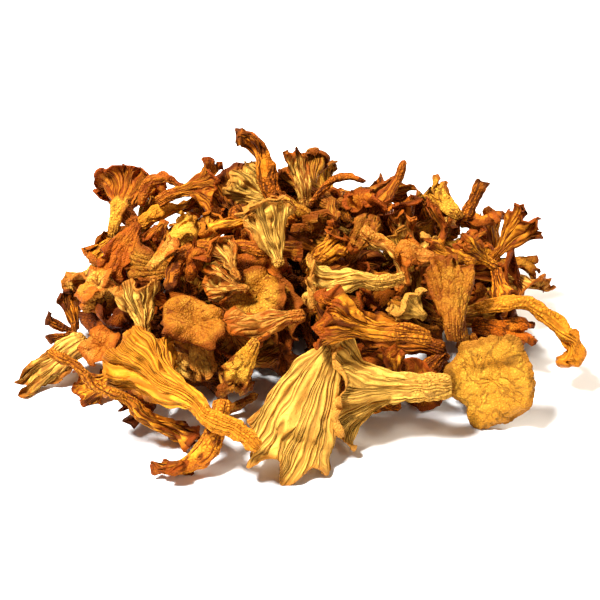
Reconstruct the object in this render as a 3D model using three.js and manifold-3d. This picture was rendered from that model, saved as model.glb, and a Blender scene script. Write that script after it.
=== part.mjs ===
// A heap of dried chanterelle mushrooms, as it lies on a flat surface.
//
// Every mushroom is one solid: a round stem that opens into a thin, crumpled cap. Whole caps are
// trumpets with a hollow throat, split and torn ones are fans, and broken stems are sticks. Small
// ones that dried stuck together by their feet are clumps. The heap is laid piece by piece: first
// the big pieces at its foot, then the clumps inside and behind, then the rest of the front from
// the bottom up. Each piece takes the free place nearest to its own and settles there.
//
// Millimetres and degrees, +Z up, origin on the surface under the middle of the heap, front of the
// heap at -Y.

import * as THREE from "three";
import Module from "manifold-3d";

const wasm = await Module();
wasm.setup();

// ---- driving dimensions -------------------------------------------------------------------------

const heapBox = { across: 138, deep: 112, high: 116 }; // half widths and height of the room for the heap
const grain = 0.8; // edge of the little cubes that tell which space is taken while pieces are laid
const sampleStep = 0.5; // spacing of the points that stand for a piece's surface
const nearly = 0.99; // keeps a piece on the surface clear of the test for what lies below it
const sink = 0.6; // how far the lowest pieces are pressed into the surface, which flattens them there
const stride = [1.6, 0.8]; // moves with which a piece settles, first long, then short
const mostMoves = 60; // moves of one length that a settling piece makes at most
const pull = 0.55; // how hard a piece is pushed into the heap, against its weight of 1
const hold = 0.12; // how firmly a piece keeps its place as seen from its own side of the heap
const slack = 0.03; // how firmly it keeps its depth in the heap
const reach = { far: 24, aside: 9.6, step: 1.6, inSight: 0.25 }; // how far a piece may move to find room

// A side of the heap is the direction in which its pieces face: degrees round the heap from the
// front, then up.
const inFront = [0, 30];
const onTop = [0, 90];

// ---- the four forms, with the sizes of a middling piece -----------------------------------------
// long: wall length from the foot to the rim. stem: stem radius. stalk: share of the length that is
// bare stem. foot: width of the foot as a share of the stem. wall: thickness of the cap. notch,
// lobes: how deep and how often the rim is cut in. ruffle, waves: height and number of the waves
// along the rim. bend: bend over the whole length. curl: extra turn of the last part of the cap.
// ridge: half the height of the folds on the ridged side, of which there is one for each two sides.
// crumple: how far the drying has pulled the surface out of true. hue: which of the four colours
// the piece has. A negative arc bulges towards the smooth side.

const trumpet = {
  form: "trumpet", long: 44, stem: 4, stalk: 0.34, foot: 0.75, wall: 1.7, flare: 72, ease: 1.1,
  squash: 0.55, lobes: 5, notch: 0.16, waves: 4, ruffle: 1.6, bend: 22, curl: 0, fold: 0,
  ridge: 0.6, crumple: 0.9, sides: 10, rows: 4, hue: "golden",
};
const cap = {
  ...trumpet, long: 34, stalk: 0.22, flare: 112, ease: 0.6, squash: 0.85, notch: 0.1, hue: "tan",
};
const fan = {
  form: "fan", long: 42, stem: 3.4, stalk: 0.25, foot: 0.75, wall: 1.5, wide: 15, spread: 1,
  arc: 130, round: 0.25, lobes: 3, notch: 0.12, waves: 3, ruffle: 1.4, bend: 25, curl: 0, twist: 0,
  ridge: 0.5, crumple: 0.8, sides: 10, rows: 4, hue: "golden",
};
const stick = {
  ...fan, long: 40, stem: 2.6, stalk: 0.9, wall: 4, wide: 2.8, arc: 0, round: 0, notch: 0,
  ruffle: 0, ridge: 0, bend: 40, crumple: 0.7, sides: 6, hue: "amber",
};
const ribbed = { sides: 20 }; // for the pieces whose ridged side shows best

// ---- small helpers ------------------------------------------------------------------------------

const wholeTurn = Math.PI * 2;
const radians = (degrees) => (degrees * Math.PI) / 180;
const within = (x) => Math.min(1, Math.max(0, x)); // x, kept from 0 to 1
const between = (a, b, share) => a + (b - a) * share;

// A repeatable row of draws from 0 to 1, by Park and Miller's rule.
const minimal = { modulus: 2147483647, factor: 16807, spread: 7919, offset: 104729 };

function draws(seed) {
  let state = (seed * minimal.spread + minimal.offset) % minimal.modulus;
  const next = () => {
    state = (state * minimal.factor) % minimal.modulus;
    return state / minimal.modulus;
  };
  next();
  return next;
}

// The shift of each wave of a mushroom, drawn from its seed.
function phasesOf(seed) {
  const next = draws(seed);
  return Array.from({ length: 6 }, () => next() * wholeTurn);
}

// ---- the surface of one mushroom ----------------------------------------------------------------
// A wall grows from the foot to the rim. u goes round the stem, v goes from 0 at the foot to 1 at
// the rim.

const walkSteps = 40;
const footEnd = { share: 0.05, width: 0.8 }; // the foot's rounded end: share of the length, width
const curlFrom = { trumpet: 0.7, fan: 0.65 }; // where the rim starts to curl
const hollowStart = 0.14; // where the throat of a trumpet begins, as a share of the cap
const ridgesFull = 0.3; // where on the cap the ridges have reached their full height
const throatRound = 0.22; // over what share of the cap the throat's end rounds off
const rimThins = 0.3; // how much thinner a trumpet's wall is at the rim
const flattest = { stem: 0.9, throat: 0.7 }; // the least round that a trumpet's stem and throat get
const bendBeyond = 0.15; // how far past the stalk a trumpet still bends
const rimCuts = { mean: 0.5, lobes: 0.3, slow: 0.2, slowCount: 3 }; // the cuts along a trumpet's rim
const fanForm = {
  bend: 1.2, // the bend grows with this power of the length
  thins: 2.4, // the stem thins into the blade with this power
  squares: 0.55, // how square a blade's section gets
  squaresSoon: 2.5, // and how soon it does so
  arc: 0.8, // the arc grows with this power of the cap
  corner: 3, // how sharply the rim's corners are cut back
  lobes: 3, // lobes and waves for each half turn round the section
  waves: 2.2,
};
const ridgedFrom = 0.01; // the edges of a fan, where its section turns, have no ridge
const dryWaves = { x: 19, y: 23, z: 21, upright: 0.7 }; // slow waves: lengths, height of the third one

// Follows a wall whose lean from the stem's axis is lean(v), and lists how far out and how far
// along it gets.
function walk(long, lean) {
  const out = [0];
  const along = [0];
  const step = long / walkSteps;
  for (let k = 1; k <= walkSteps; k++) {
    const angle = lean((k - 0.5) / walkSteps);
    out.push(out[k - 1] + step * Math.sin(angle));
    along.push(along[k - 1] + step * Math.cos(angle));
  }
  return { out, along };
}

function lookUp(list, v) {
  const place = within(v) * walkSteps;
  const k = Math.min(walkSteps - 1, Math.floor(place));
  return between(list[k], list[k + 1], place - k);
}

// Share of the way from the top of the bare stem to the rim.
const capShare = (m, v) => within((v - m.stalk) / (1 - m.stalk));

// The stem tapers to its foot, which is a little rounded.
function stemRadius(m, v) {
  const taper = between(m.foot, 1, within(v / m.stalk));
  return m.stem * taper * between(footEnd.width, 1, within(v / footEnd.share));
}

// The rim's extra turn, from nothing where the curl starts to all of it at the rim.
const rimCurl = (share, start) => within((share - start) / (1 - start)) ** 2;

// The lean of a trumpet's wall: upright along the stem, flaring over the cap, and curling at the
// rim.
function trumpetLean(m) {
  return (v) => {
    const g = capShare(m, v);
    return radians(m.flare * g ** m.ease + m.curl * rimCurl(g, curlFrom.trumpet));
  };
}

// The folds on the ridged side run along the cap and die out on the stem.
const ridgeShift = (m, u, g) => m.ridge * within(g / ridgesFull) * Math.cos((m.sides / 2) * u);

function trumpetPoint(m, run, phase, u, v, inner) {
  const g = capShare(m, v);
  const lobes = rimCuts.lobes * Math.sin(m.lobes * u + phase[0]);
  const slow = rimCuts.slow * Math.sin(rimCuts.slowCount * u + phase[5]);
  const cutIn = m.notch * g * (rimCuts.mean + lobes + slow);
  const w = v <= m.stalk ? v : m.stalk + (v - m.stalk) * (1 - cutIn);
  const lean = trumpetLean(m)(w);
  const spread = lookUp(run.out, w);
  const stem = stemRadius(m, v);
  let wide = stem + spread;
  let narrow = stem * between(flattest.stem, Math.max(flattest.throat, m.squash), g) + spread * m.squash;
  let z = lookUp(run.along, w);
  let shift = m.ruffle * g * g * Math.sin(m.waves * u + phase[1]);
  shift += inner ? -m.wall * (1 - rimThins * g) : ridgeShift(m, u, g);
  wide += shift * Math.cos(lean);
  narrow += shift * Math.cos(lean);
  z -= shift * Math.sin(lean);
  if (inner) {
    const k = within((g - hollowStart) / throatRound);
    const closing = Math.sqrt(k * (2 - k));
    wide *= closing;
    narrow *= closing;
  }
  const x = wide * Math.cos(u);
  const y = narrow * Math.sin(u);
  z += (m.fold * x * x * g) / m.long;
  return bendStem(m, run, x, y, z);
}

// Bends the stem of a trumpet towards +X, and carries the cap with it.
function bendStem(m, run, x, y, z) {
  const bendLong = lookUp(run.along, m.stalk + bendBeyond);
  const turn = radians(m.bend);
  if (turn === 0) return [x, y, z];
  const radius = bendLong / turn;
  const angle = turn * within(z / bendLong);
  const past = Math.max(0, z - bendLong) + Math.min(0, z);
  return [
    radius * (1 - Math.cos(angle)) + x * Math.cos(angle) + past * Math.sin(angle),
    y,
    radius * Math.sin(angle) - x * Math.sin(angle) + past * Math.cos(angle),
  ];
}

const fanLean = (m) => (v) => radians(m.bend * v ** fanForm.bend + m.curl * rimCurl(v, curlFrom.fan));

// One point of a fan. u goes round its section: the ridged side is from 0 to half a turn, the
// smooth side the rest.
function fanPoint(m, run, phase, u, v) {
  const across = Math.cos(u);
  const g = capShare(m, v);
  const corner = m.round * Math.abs(across) ** fanForm.corner;
  const lobes = (1 + Math.sin(m.lobes * across * fanForm.lobes + phase[0])) / 2;
  const cutIn = g * (corner + m.notch * lobes);
  const w = v * (1 - cutIn);
  const gw = capShare(m, w);
  const halfWide = between(stemRadius(m, w), m.wide, gw ** m.spread);
  const thick = between(2 * stemRadius(m, w), m.wall, 1 - (1 - gw) ** fanForm.thins);
  const blade = 1 - fanForm.squares * within(gw * fanForm.squaresSoon);
  const side = Math.sin(u);
  let depth = (thick / 2) * Math.sign(side) * Math.abs(side) ** blade;
  depth += m.ruffle * g * g * Math.sin(m.waves * across * fanForm.waves + phase[1]);
  if (side > ridgedFrom) depth += ridgeShift(m, u, g);
  const halfArc = radians(m.arc / 2) * gw ** fanForm.arc;
  let x = halfWide * across;
  let y = depth;
  if (halfArc !== 0) {
    const radius = halfWide / halfArc;
    const angle = across * halfArc;
    x = (radius + depth) * Math.sin(angle);
    y = (radius + depth) * Math.cos(angle) - radius;
  }
  const twist = radians(m.twist) * w;
  const tx = x * Math.cos(twist) - y * Math.sin(twist);
  const ty = x * Math.sin(twist) + y * Math.cos(twist);
  const lean = fanLean(m)(w);
  return [tx, lookUp(run.out, w) + ty * Math.cos(lean), lookUp(run.along, w) - ty * Math.sin(lean)];
}

// Drying pulls the surface out of true: three slow waves, one along each axis.
function crumpled(m, phase, [x, y, z]) {
  const x2 = x + m.crumple * Math.sin((wholeTurn * y) / dryWaves.x + phase[2]);
  const y2 = y + m.crumple * Math.sin((wholeTurn * z) / dryWaves.y + phase[3]);
  const z2 = z + dryWaves.upright * m.crumple * Math.sin((wholeTurn * x2) / dryWaves.z + phase[4]);
  return [x2, y2, z2];
}

// ---- closed meshes ------------------------------------------------------------------------------

// Collects points and triangles.
function netting() {
  const points = [];
  const faces = [];
  const ring = (list) => list.map((p) => points.push(p) - 1);
  // A band between two rings of n points. Each quad is split by one diagonal, the other one where
  // crossed says so.
  const band = (a, b, crossed = () => false) => {
    const n = a.length;
    for (let j = 0; j < n; j++) {
      const k = (j + 1) % n;
      if (crossed(j)) faces.push([a[j], a[k], b[j]], [a[k], b[k], b[j]]);
      else faces.push([a[j], a[k], b[k]], [a[j], b[k], b[j]]);
    }
  };
  const close = (a, point, last) => {
    const tip = points.push(point) - 1;
    for (let j = 0; j < a.length; j++) {
      const k = (j + 1) % a.length;
      faces.push(last ? [a[j], a[k], tip] : [a[k], a[j], tip]);
    }
  };
  return { points, faces, ring, band, close };
}

const bareFrom = 0.8; // a stalk longer than this share is a bare stick
const stickRows = 6;

// Where the rings of points are: evenly along a stick, or else on the stem first and then on the
// cap.
function rowsOf(m) {
  if (m.stalk > bareFrom) return Array.from({ length: stickRows + 1 }, (_, k) => k / stickRows);
  const rows = [0, m.stalk / 2, m.stalk];
  for (let k = 1; k <= m.rows; k++) rows.push(m.stalk + ((1 - m.stalk) * k) / m.rows);
  return rows;
}

function trumpetNet(m, phase) {
  const run = walk(m.long, trumpetLean(m));
  const net = netting();
  const point = (u, v, inner) => crumpled(m, phase, trumpetPoint(m, run, phase, u, v, inner));
  const circle = (v, inner) =>
    net.ring(Array.from({ length: m.sides }, (_, j) => point((wholeTurn * j) / m.sides, v, inner)));
  const rows = rowsOf(m);
  const outer = rows.map((v) => circle(v, false));
  const hollow = rows.filter((v) => capShare(m, v) > hollowStart + throatRound / 2);
  const inner = hollow.map((v) => circle(v, true));
  net.close(outer[0], crumpled(m, phase, bendStem(m, run, 0, 0, 0)), false);
  for (let i = 0; i + 1 < outer.length; i++) net.band(outer[i], outer[i + 1]);
  net.band(outer[outer.length - 1], inner[inner.length - 1]);
  for (let i = inner.length - 1; i > 0; i--) net.band(inner[i], inner[i - 1], () => true);
  const throat = lookUp(run.along, m.stalk + hollowStart * (1 - m.stalk));
  net.close(inner[0], crumpled(m, phase, bendStem(m, run, 0, 0, throat)), true);
  return net;
}

function fanNet(m, phase) {
  const run = walk(m.long, fanLean(m));
  const net = netting();
  const n = m.sides;
  const point = (u, v) => crumpled(m, phase, fanPoint(m, run, phase, u, v));
  const loop = (v) => net.ring(Array.from({ length: n }, (_, j) => point((wholeTurn * j) / n, v)));
  const rings = rowsOf(m).map(loop);
  net.close(rings[0], crumpled(m, phase, [0, 0, 0]), false);
  for (let i = 0; i + 1 < rings.length; i++) net.band(rings[i], rings[i + 1], (j) => j >= n / 2);
  // The rim: the two sides of the last ring are joined straight across the wall.
  const last = rings[rings.length - 1];
  net.faces.push([last[0], last[1], last[n - 1]]);
  for (let j = 1; j < n / 2 - 1; j++) {
    const [a, b, c, d] = [last[j], last[j + 1], last[n - j - 1], last[n - j]];
    net.faces.push([a, b, d], [b, c, d]);
  }
  net.faces.push([last[n / 2 - 1], last[n / 2], last[n / 2 + 1]]);
  return net;
}

// The frame of one side of the heap: across it, up it, and out of it.
function sideFrame([round, up]) {
  const [a, e] = [radians(round), radians(up)];
  const across = new THREE.Vector3(Math.cos(a), Math.sin(a), 0);
  const out = new THREE.Vector3(Math.sin(a) * Math.cos(e), -Math.cos(a) * Math.cos(e), Math.sin(e));
  return { across, up: out.clone().cross(across), out };
}

function sidePoint(side, [right, high, far]) {
  const { across, up, out } = sideFrame(side);
  return across.multiplyScalar(right).addScaledVector(up, high).addScaledVector(out, far);
}

// How a mushroom is turned on its side of the heap. way: where its rim points, counted from across
// towards up. tip: how far the rim leans out. roll: turn about its own stem. With no roll a fan
// shows its ridged side.
function turned(side, [way, tip, roll]) {
  const { across, up, out } = sideFrame(side);
  const stemAlongX = new THREE.Matrix4().makeBasis(
    new THREE.Vector3(0, 1, 0),
    new THREE.Vector3(0, 0, 1),
    new THREE.Vector3(1, 0, 0),
  );
  return new THREE.Matrix4()
    .makeBasis(across, up, out)
    .multiply(new THREE.Matrix4().makeRotationZ(radians(way)))
    .multiply(new THREE.Matrix4().makeRotationY(-radians(tip)))
    .multiply(stemAlongX)
    .multiply(new THREE.Matrix4().makeRotationZ(radians(roll)));
}

function solidFrom(net, matrix) {
  const vertProperties = new Float32Array(net.points.length * 3);
  const v = new THREE.Vector3();
  net.points.forEach((p, i) => {
    v.fromArray(p).applyMatrix4(matrix);
    vertProperties.set([v.x, v.y, v.z], i * 3);
  });
  const triVerts = new Uint32Array(net.faces.flat());
  return new wasm.Manifold(new wasm.Mesh({ numProp: 3, vertProperties, triVerts }));
}

function mushroomSolid(m, side) {
  const phase = phasesOf(m.seed);
  const net = m.form === "trumpet" ? trumpetNet(m, phase) : fanNet(m, phase);
  const matrix = turned(side, m.turn);
  if (m.apart) matrix.setPosition(sidePoint(side, m.apart));
  return solidFrom(net, matrix);
}

// A piece is one mushroom, or a clump: mushrooms that dried with their feet stuck together at one
// root.
function pieceSolid(piece) {
  if (!piece.members) return mushroomSolid(piece, piece.side);
  return wasm.Manifold.union(piece.members.map((m) => mushroomSolid(m, piece.side)));
}

// ---- laying the heap ----------------------------------------------------------------------------

// Points spread evenly over the surface of a solid.
function surfacePoints(solid) {
  const { vertProperties: at, triVerts } = solid.getMesh();
  const corner = (i) => new THREE.Vector3(at[3 * i], at[3 * i + 1], at[3 * i + 2]);
  const points = [];
  for (let t = 0; t < triVerts.length; t += 3) {
    const [a, b, c] = [corner(triVerts[t]), corner(triVerts[t + 1]), corner(triVerts[t + 2])];
    const longest = Math.max(a.distanceTo(b), b.distanceTo(c), c.distanceTo(a));
    const n = Math.max(1, Math.ceil(longest / sampleStep));
    for (let i = 0; i <= n; i++) {
      for (let j = 0; j <= n - i; j++) {
        const k = n - i - j;
        points.push([
          (a.x * i + b.x * j + c.x * k) / n,
          (a.y * i + b.y * j + c.y * k) / n,
          (a.z * i + b.z * j + c.z * k) / n,
        ]);
      }
    }
  }
  // Mixed, so that a clash anywhere is found early.
  const skip = 37;
  return Array.from({ length: skip }, (_, first) => points.filter((_, i) => i % skip === first)).flat();
}

// The space round the heap, in little cubes, each free or taken.
const counts = [
  Math.ceil((2 * heapBox.across) / grain),
  Math.ceil((2 * heapBox.deep) / grain),
  Math.ceil(heapBox.high / grain),
];
const taken = new Uint8Array(counts[0] * counts[1] * counts[2]);

function cubeAt(x, y, z) {
  const i = Math.floor((x + heapBox.across) / grain);
  const j = Math.floor((y + heapBox.deep) / grain);
  const k = Math.floor((z + 2) / grain);
  const cell = [i, j, k];
  if (cell.some((n, axis) => n < 1 || n >= counts[axis] - 1)) return -1;
  return (k * counts[1] + j) * counts[0] + i;
}

// Marks the cubes that a laid piece touches, with the cubes round them.
function take(points, shift) {
  const touched = new Set(points.map((p) => cubeAt(p[0] + shift[0], p[1] + shift[1], p[2] + shift[2])));
  touched.delete(-1);
  for (const cube of touched) {
    for (let k = -1; k <= 1; k++) {
      for (let j = -1; j <= 1; j++) {
        for (let i = -1; i <= 1; i++) taken[cube + (k * counts[1] + j) * counts[0] + i] = 1;
      }
    }
  }
}

function isFree(points, shift) {
  for (const p of points) {
    const z = p[2] + shift[2];
    if (z < -sink) return false;
    const cube = cubeAt(p[0] + shift[0], p[1] + shift[1], z);
    if (cube >= 0 && taken[cube]) return false;
  }
  return true;
}

const along = (p, d, far) => [p[0] + d[0] * far, p[1] + d[1] * far, p[2] + d[2] * far];
const dot = (p, d) => p[0] * d[0] + p[1] * d[1] + p[2] * d[2];

// The ways in which a settling piece may give: straight, and over the edges of a cube.
const gives = [];
for (const x of [-1, 0, 1]) {
  for (const y of [-1, 0, 1]) {
    for (const z of [-1, 0, 1]) {
      const far = Math.hypot(x, y, z);
      const sideways = Math.abs(x) + Math.abs(y) + Math.abs(z);
      if (sideways === 1 || sideways === 2) gives.push([x / far, y / far, z / far]);
    }
  }
}

// The moves that a piece may make to find room, nearest first. Those of a piece that faces the
// front count least along the line of sight.
const moves = [];
for (let c = -reach.far; c <= reach.far; c += reach.step) {
  for (let b = -reach.aside; b <= reach.aside; b += reach.step) {
    for (let a = -reach.aside; a <= reach.aside; a += reach.step) moves.push([a, b, c]);
  }
}
const nearestFirst = (weight) => {
  const trouble = ([a, b, c]) => a * a + b * b + (weight * c) ** 2;
  return [...moves].sort((one, other) => trouble(one) - trouble(other));
};
const movesInSight = nearestFirst(reach.inSight);
const movesAround = nearestFirst(1);

// Puts a piece at its place or, where that is taken, at the nearest free one, and lets it settle:
// it gives way in small moves as long as that brings it lower or further in, and little to one
// side. A grounded piece stays on the surface and moves level.
function lay(piece, points) {
  const frame = sideFrame(piece.side);
  const [across, up] = [frame.across.toArray(), frame.up.toArray()];
  const out = piece.grounded ? [0, -1, 0] : frame.out.toArray();
  const middle = [0, 1, 2].map((axis) => {
    const all = points.map((p) => p[axis]);
    return (all.reduce((a, b) => Math.min(a, b)) + all.reduce((a, b) => Math.max(a, b))) / 2;
  });
  const lowest = points.reduce((low, point) => Math.min(low, point[2]), Infinity);
  const floor = -nearly * sink - lowest;
  const wanted = sidePoint(piece.side, piece.at).toArray();
  const start = [0, 1, 2].map((i) => wanted[i] - middle[i]);
  const place = ([a, b, c]) => {
    const moved = along(along(start, across, a), out, c);
    if (piece.grounded) return [moved[0], moved[1], floor];
    const raised = along(moved, up, b);
    return [raised[0], raised[1], Math.max(floor, raised[2])];
  };
  const ordered = piece.side === inFront ? movesInSight : movesAround;
  const options = piece.grounded ? ordered.filter(([, b]) => Math.abs(b) < grain) : ordered;
  let shift = place(options.find((move) => isFree(points, place(move))) ?? [0, 0, 0]);
  while (!isFree(points, shift)) shift = along(shift, out, grain);
  const reached = shift;
  const effort = (s) => {
    const moved = [s[0] - reached[0], s[1] - reached[1], s[2] - reached[2]];
    const [aside, raised, far] = [across, up, out].map((way) => dot(moved, way));
    return moved[2] + pull * far + hold * (aside ** 2 + raised ** 2) + slack * far ** 2;
  };
  for (const step of piece.grounded ? [] : stride) {
    for (let again = 0; again < mostMoves; again++) {
      const nearby = gives.map((d) => along(shift, d, step)).filter((s) => effort(s) < effort(shift));
      nearby.sort((a, b) => effort(a) - effort(b));
      const better = nearby.find((s) => isFree(points, s));
      if (!better) break;
      shift = better;
    }
  }
  return shift;
}

// ---- the pieces ---------------------------------------------------------------------------------

const pieces = [];
const seedOf = (name) => [...name].reduce((sum, letter) => (sum * 31 + letter.charCodeAt(0)) % 99991, 7);

function mushroom(name, side, at, form, turn, sizes = {}) {
  pieces.push({ ...form, ...sizes, name, side, at, turn, seed: seedOf(name) });
}

function clump(name, side, at, members, grounded = false) {
  const first = seedOf(name) + 1;
  const grown = members.map(([form, turn, sizes], k) => ({ ...form, ...sizes, turn, seed: first + k }));
  pieces.push({ name, side, at, members: grown, grounded, hue: grown[0].hue });
}

// The heap's rough shape, a rounded mound, tells where the pieces that nobody placed by hand start.
const mound = { across: 90, deep: 76, high: 58, bulge: 0.55 };

// How far up a side, and how far out, the mound's surface lies at the height z.
function onMound([round, up], z) {
  const a = radians(round);
  const e = radians(up);
  const reachOut = 1 / Math.hypot(Math.sin(a) / mound.across, Math.cos(a) / mound.deep);
  const r = reachOut * Math.sqrt(1 - (z / mound.high) ** (1 / mound.bulge));
  return [z * Math.cos(e) - r * Math.sin(e), z * Math.sin(e) + r * Math.cos(e)];
}

const variety = { size: [0.85, 1.15], bend: [0.4, 1.9] }; // least and most, as shares of the usual

// A form with sizes drawn a little larger or smaller.
function varied(form, next, size) {
  const k = size * between(...variety.size, next());
  const bend = form.bend * between(...variety.bend, next());
  return { ...form, long: form.long * k, wide: (form.wide ?? 0) * k, bend };
}

// Clumps that lie flat. Broad ones fill the middle, small ones the space behind the foot of the
// front, and the last ones carry the top. Each spot is given as right, back and up. fewer: the
// coarser net of pieces that hardly show.
const fewer = { sides: 6, rows: 3 };
const lying = { way: 50, tip: [-8, 14], roll: 180 }; // the span of each turn of a clump's members
const heart = { members: 4, wide: 19, size: 0.92, hues: ["amber"] };
heart.spots = [[-58, 6, 15], [58, 8, 15], [0, 40, 15], [0, 8, 38]];
const inner = { members: 3, wide: 13, size: 0.68, hues: ["amber", "tan"] };
inner.spots = [[-60, -22, 13], [-24, -32, 12], [22, -36, 16], [60, -22, 14]];
const ridge = { members: 3, wide: 15, size: 0.85, hues: ["golden", "amber", "tan"] };
ridge.spots = [[-58, 28, 42], [-18, 36, 46], [22, 36, 46], [62, 28, 42]];

function flatClumps(label, kind, seed) {
  const next = draws(seed);
  const forms = [fan, trumpet, fan];
  kind.spots.forEach((spot, i) => {
    const members = [];
    for (let k = 0; k < kind.members; k++) {
      const way = (k * 360) / kind.members + lying.way * next();
      const turn = [way, between(...lying.tip, next()), lying.roll * next()];
      const form = varied({ ...forms[k % forms.length], wide: kind.wide }, next, kind.size);
      members.push([form, turn, { ...fewer, hue: kind.hues[i % kind.hues.length] }]);
    }
    clump(`${label}_clump_${i + 1}`, onTop, spot, members);
  });
}

// Clumps of three along the back and the flanks: which way each member points, and the spans of its
// turns.
const rear = { low: 14, up: 25, inset: 16, rounds: [112, 139, 166, 194, 222, 246] };
const upright = { way: [-28, 28], tip: [5, 40], roll: [-60, 60] };
const rearForms = [
  { form: trumpet, way: 10, roll: 0, size: 0.76 },
  { form: fan, way: 170, roll: 0, size: 0.76 },
  { form: cap, way: 270, roll: 180, size: 0.53 },
];

function rearClumps() {
  const next = draws(31);
  const hues = ["golden", "cream", "tan", "amber"];
  rear.rounds.forEach((round, i) => {
    const side = [round, rear.up];
    const members = rearForms.map(({ form, way, roll, size }, k) => {
      const turn = [
        way + between(...upright.way, next()),
        between(...upright.tip, next()),
        roll + between(...upright.roll, next()),
      ];
      return [varied(form, next, size), turn, { ...fewer, hue: hues[(i + k) % hues.length] }];
    });
    const [high, far] = onMound(side, rear.low);
    clump(`rear_clump_${i + 1}`, side, [0, high, far - rear.inset], members);
  });
}

// The foot of the front.
mushroom("flat_left", inFront, [-80, 2, 38], fan, [205, 0, 0], {
  long: 22, wide: 11, stem: 2.6, arc: 40, grounded: true, hue: "golden",
});
mushroom("leaf_left", inFront, [-99, 2, 41], fan, [216, 0, 0], {
  long: 36, wide: 8, stem: 5, stalk: 0.1, round: 0.5, arc: 40, hue: "cream",
});
mushroom("arm_right", inFront, [91, 13, 47], fan, [18, 0, 90], {
  long: 60, stem: 3, wide: 14, stalk: 0.62, bend: 115, arc: 150, curl: 30, hue: "golden",
});
mushroom("tube_long", inFront, [-65, -13, 64], trumpet, [-36, 0, -90], {
  long: 66, stem: 2.4, stalk: 0.68, flare: 40, bend: 35, grounded: true, hue: "golden",
});
mushroom("hook_front", inFront, [-40, -26, 74], fan, [280, 5, 90], {
  long: 44, stem: 4, wide: 9, stalk: 0.55, bend: 125, arc: 70, grounded: true, hue: "golden",
});
mushroom("funnel_left", inFront, [-43, -8, 75], trumpet, [150, -4, -90], {
  ...ribbed, long: 70, stem: 4.2, stalk: 0.42, flare: 34, ease: 0.7, squash: 0.8, bend: 34, curl: 25,
});
clump("fan_and_funnel_front", inFront, [19, -9, 70], [
  [fan, [246, 5, 0], {
    ...ribbed, long: 59, stem: 5, stalk: 0.12, wide: 21, spread: 0.7, arc: 70, bend: 20,
    ruffle: 2.4, hue: "cream",
  }],
  [trumpet, [182, -5, 0], {
    ...ribbed, long: 52, stem: 5, stalk: 0.3, flare: 58, ease: 0.8, squash: 0.6, bend: 0,
    curl: 40, apart: [43, -18, 1],
  }],
], true);
mushroom("cap_right", inFront, [73, -6, 62], cap, [168, 72, 0], {
  long: 23, stem: 4.5, flare: 120, squash: 0.86, notch: 0.06, ruffle: 1, hue: "tan",
});

flatClumps("heart", heart, 11);
flatClumps("inner", inner, 13);
rearClumps();
flatClumps("ridge", ridge, 17);

// The middle of the front.
clump("caps_left", inFront, [-81, 32, 25], [
  [cap, [110, 50, 0], { long: 11, stem: 1.8, hue: "cream" }],
  [cap, [265, 50, 0], { long: 11, stem: 1.8, hue: "cream" }],
]);
clump("dark_left", inFront, [-100, 20, 20], [
  [fan, [100, 0, 10], { long: 20, wide: 6, stem: 2.2, arc: 80, hue: "amber" }],
  [stick, [160, 0, 0], { long: 14, stem: 1.7, wide: 2.2, hue: "amber" }],
  [stick, [200, 10, 0], { long: 13, stem: 1.5, wide: 1.8, hue: "amber" }],
]);
mushroom("cup_left", inFront, [-61, 42, 29], fan, [175, 25, 180], {
  long: 25, wide: 11, stem: 3, arc: 110, curl: 60, hue: "tan",
});
clump("sticks_middle", inFront, [-26, 41, 47], [
  [stick, [-2, 5, 0], { long: 44, stem: 3, wide: 3.6, bend: 12, hue: "golden" }],
  [stick, [215, 10, 90], { long: 20, stem: 3.6, wide: 4.4, bend: -60, hue: "amber" }],
]);
mushroom("band_cream", inFront, [34, 42, 49], fan, [-22, 0, 90], {
  ...ribbed, long: 36, wide: 6, stem: 2.6, bend: 80, arc: 60, hue: "cream",
});
mushroom("cap_tall", inFront, [59, 27, 54], fan, [95, 5, 180], {
  long: 35, wide: 13, stem: 4.4, arc: -100, notch: 0.08, hue: "tan",
});
mushroom("twist_cream", inFront, [20, 34, 59], trumpet, [192, 20, 60], {
  ...ribbed, long: 44, stem: 3.6, flare: 62, squash: 0.45, bend: -25, hue: "cream",
});
mushroom("cap_brown", inFront, [-19, 29, 59], cap, [95, 62, 0], { long: 17, stem: 2.6, hue: "tan" });
clump("crumpled_and_leaf", inFront, [-56, 17, 58], [
  [fan, [100, 5, 0], { ...ribbed, long: 24, wide: 13, stem: 3, arc: 170, hue: "cream" }],
  [fan, [-40, 10, 160], { ...ribbed, long: 26, wide: 8, stem: 2.6, arc: 60, hue: "cream" }],
]);
clump("caps_orange", inFront, [-39, 11, 65], [
  [cap, [60, 55, 0], { long: 20, stem: 3, squash: 0.7, hue: "tan" }],
  [fan, [285, 5, 180], { long: 18, wide: 7, stem: 2.6, arc: 120, hue: "cream" }],
]);
mushroom("funnel_middle", inFront, [28, 18, 67], trumpet, [178, 12, 20], {
  ...ribbed, long: 44, stem: 3.4, stalk: 0.45, flare: 50, bend: -12, hue: "golden",
});
mushroom("strip_pale", inFront, [-15, 15, 66], fan, [192, 0, 20], {
  long: 31, wide: 12, stem: 3, twist: 40, arc: 70, hue: "cream",
});
mushroom("leaf_orange", inFront, [82, 14, 40], fan, [-10, 5, 180], {
  long: 28, wide: 9.5, stem: 2.8, arc: -60, hue: "amber",
});
clump("ridge_and_stub", inFront, [40, 8, 58], [
  [fan, [166, 5, 0], { long: 40, wide: 12, stem: 3.4, arc: 120, hue: "amber" }],
  [stick, [225, -8, 0], { long: 18, stem: 3.6, wide: 4, bend: 10, hue: "amber" }],
]);
mushroom("cap_low", inFront, [-21, 1, 71], fan, [240, 0, 180], {
  long: 21, wide: 7.5, stem: 2.8, arc: -60, hue: "tan",
});

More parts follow.
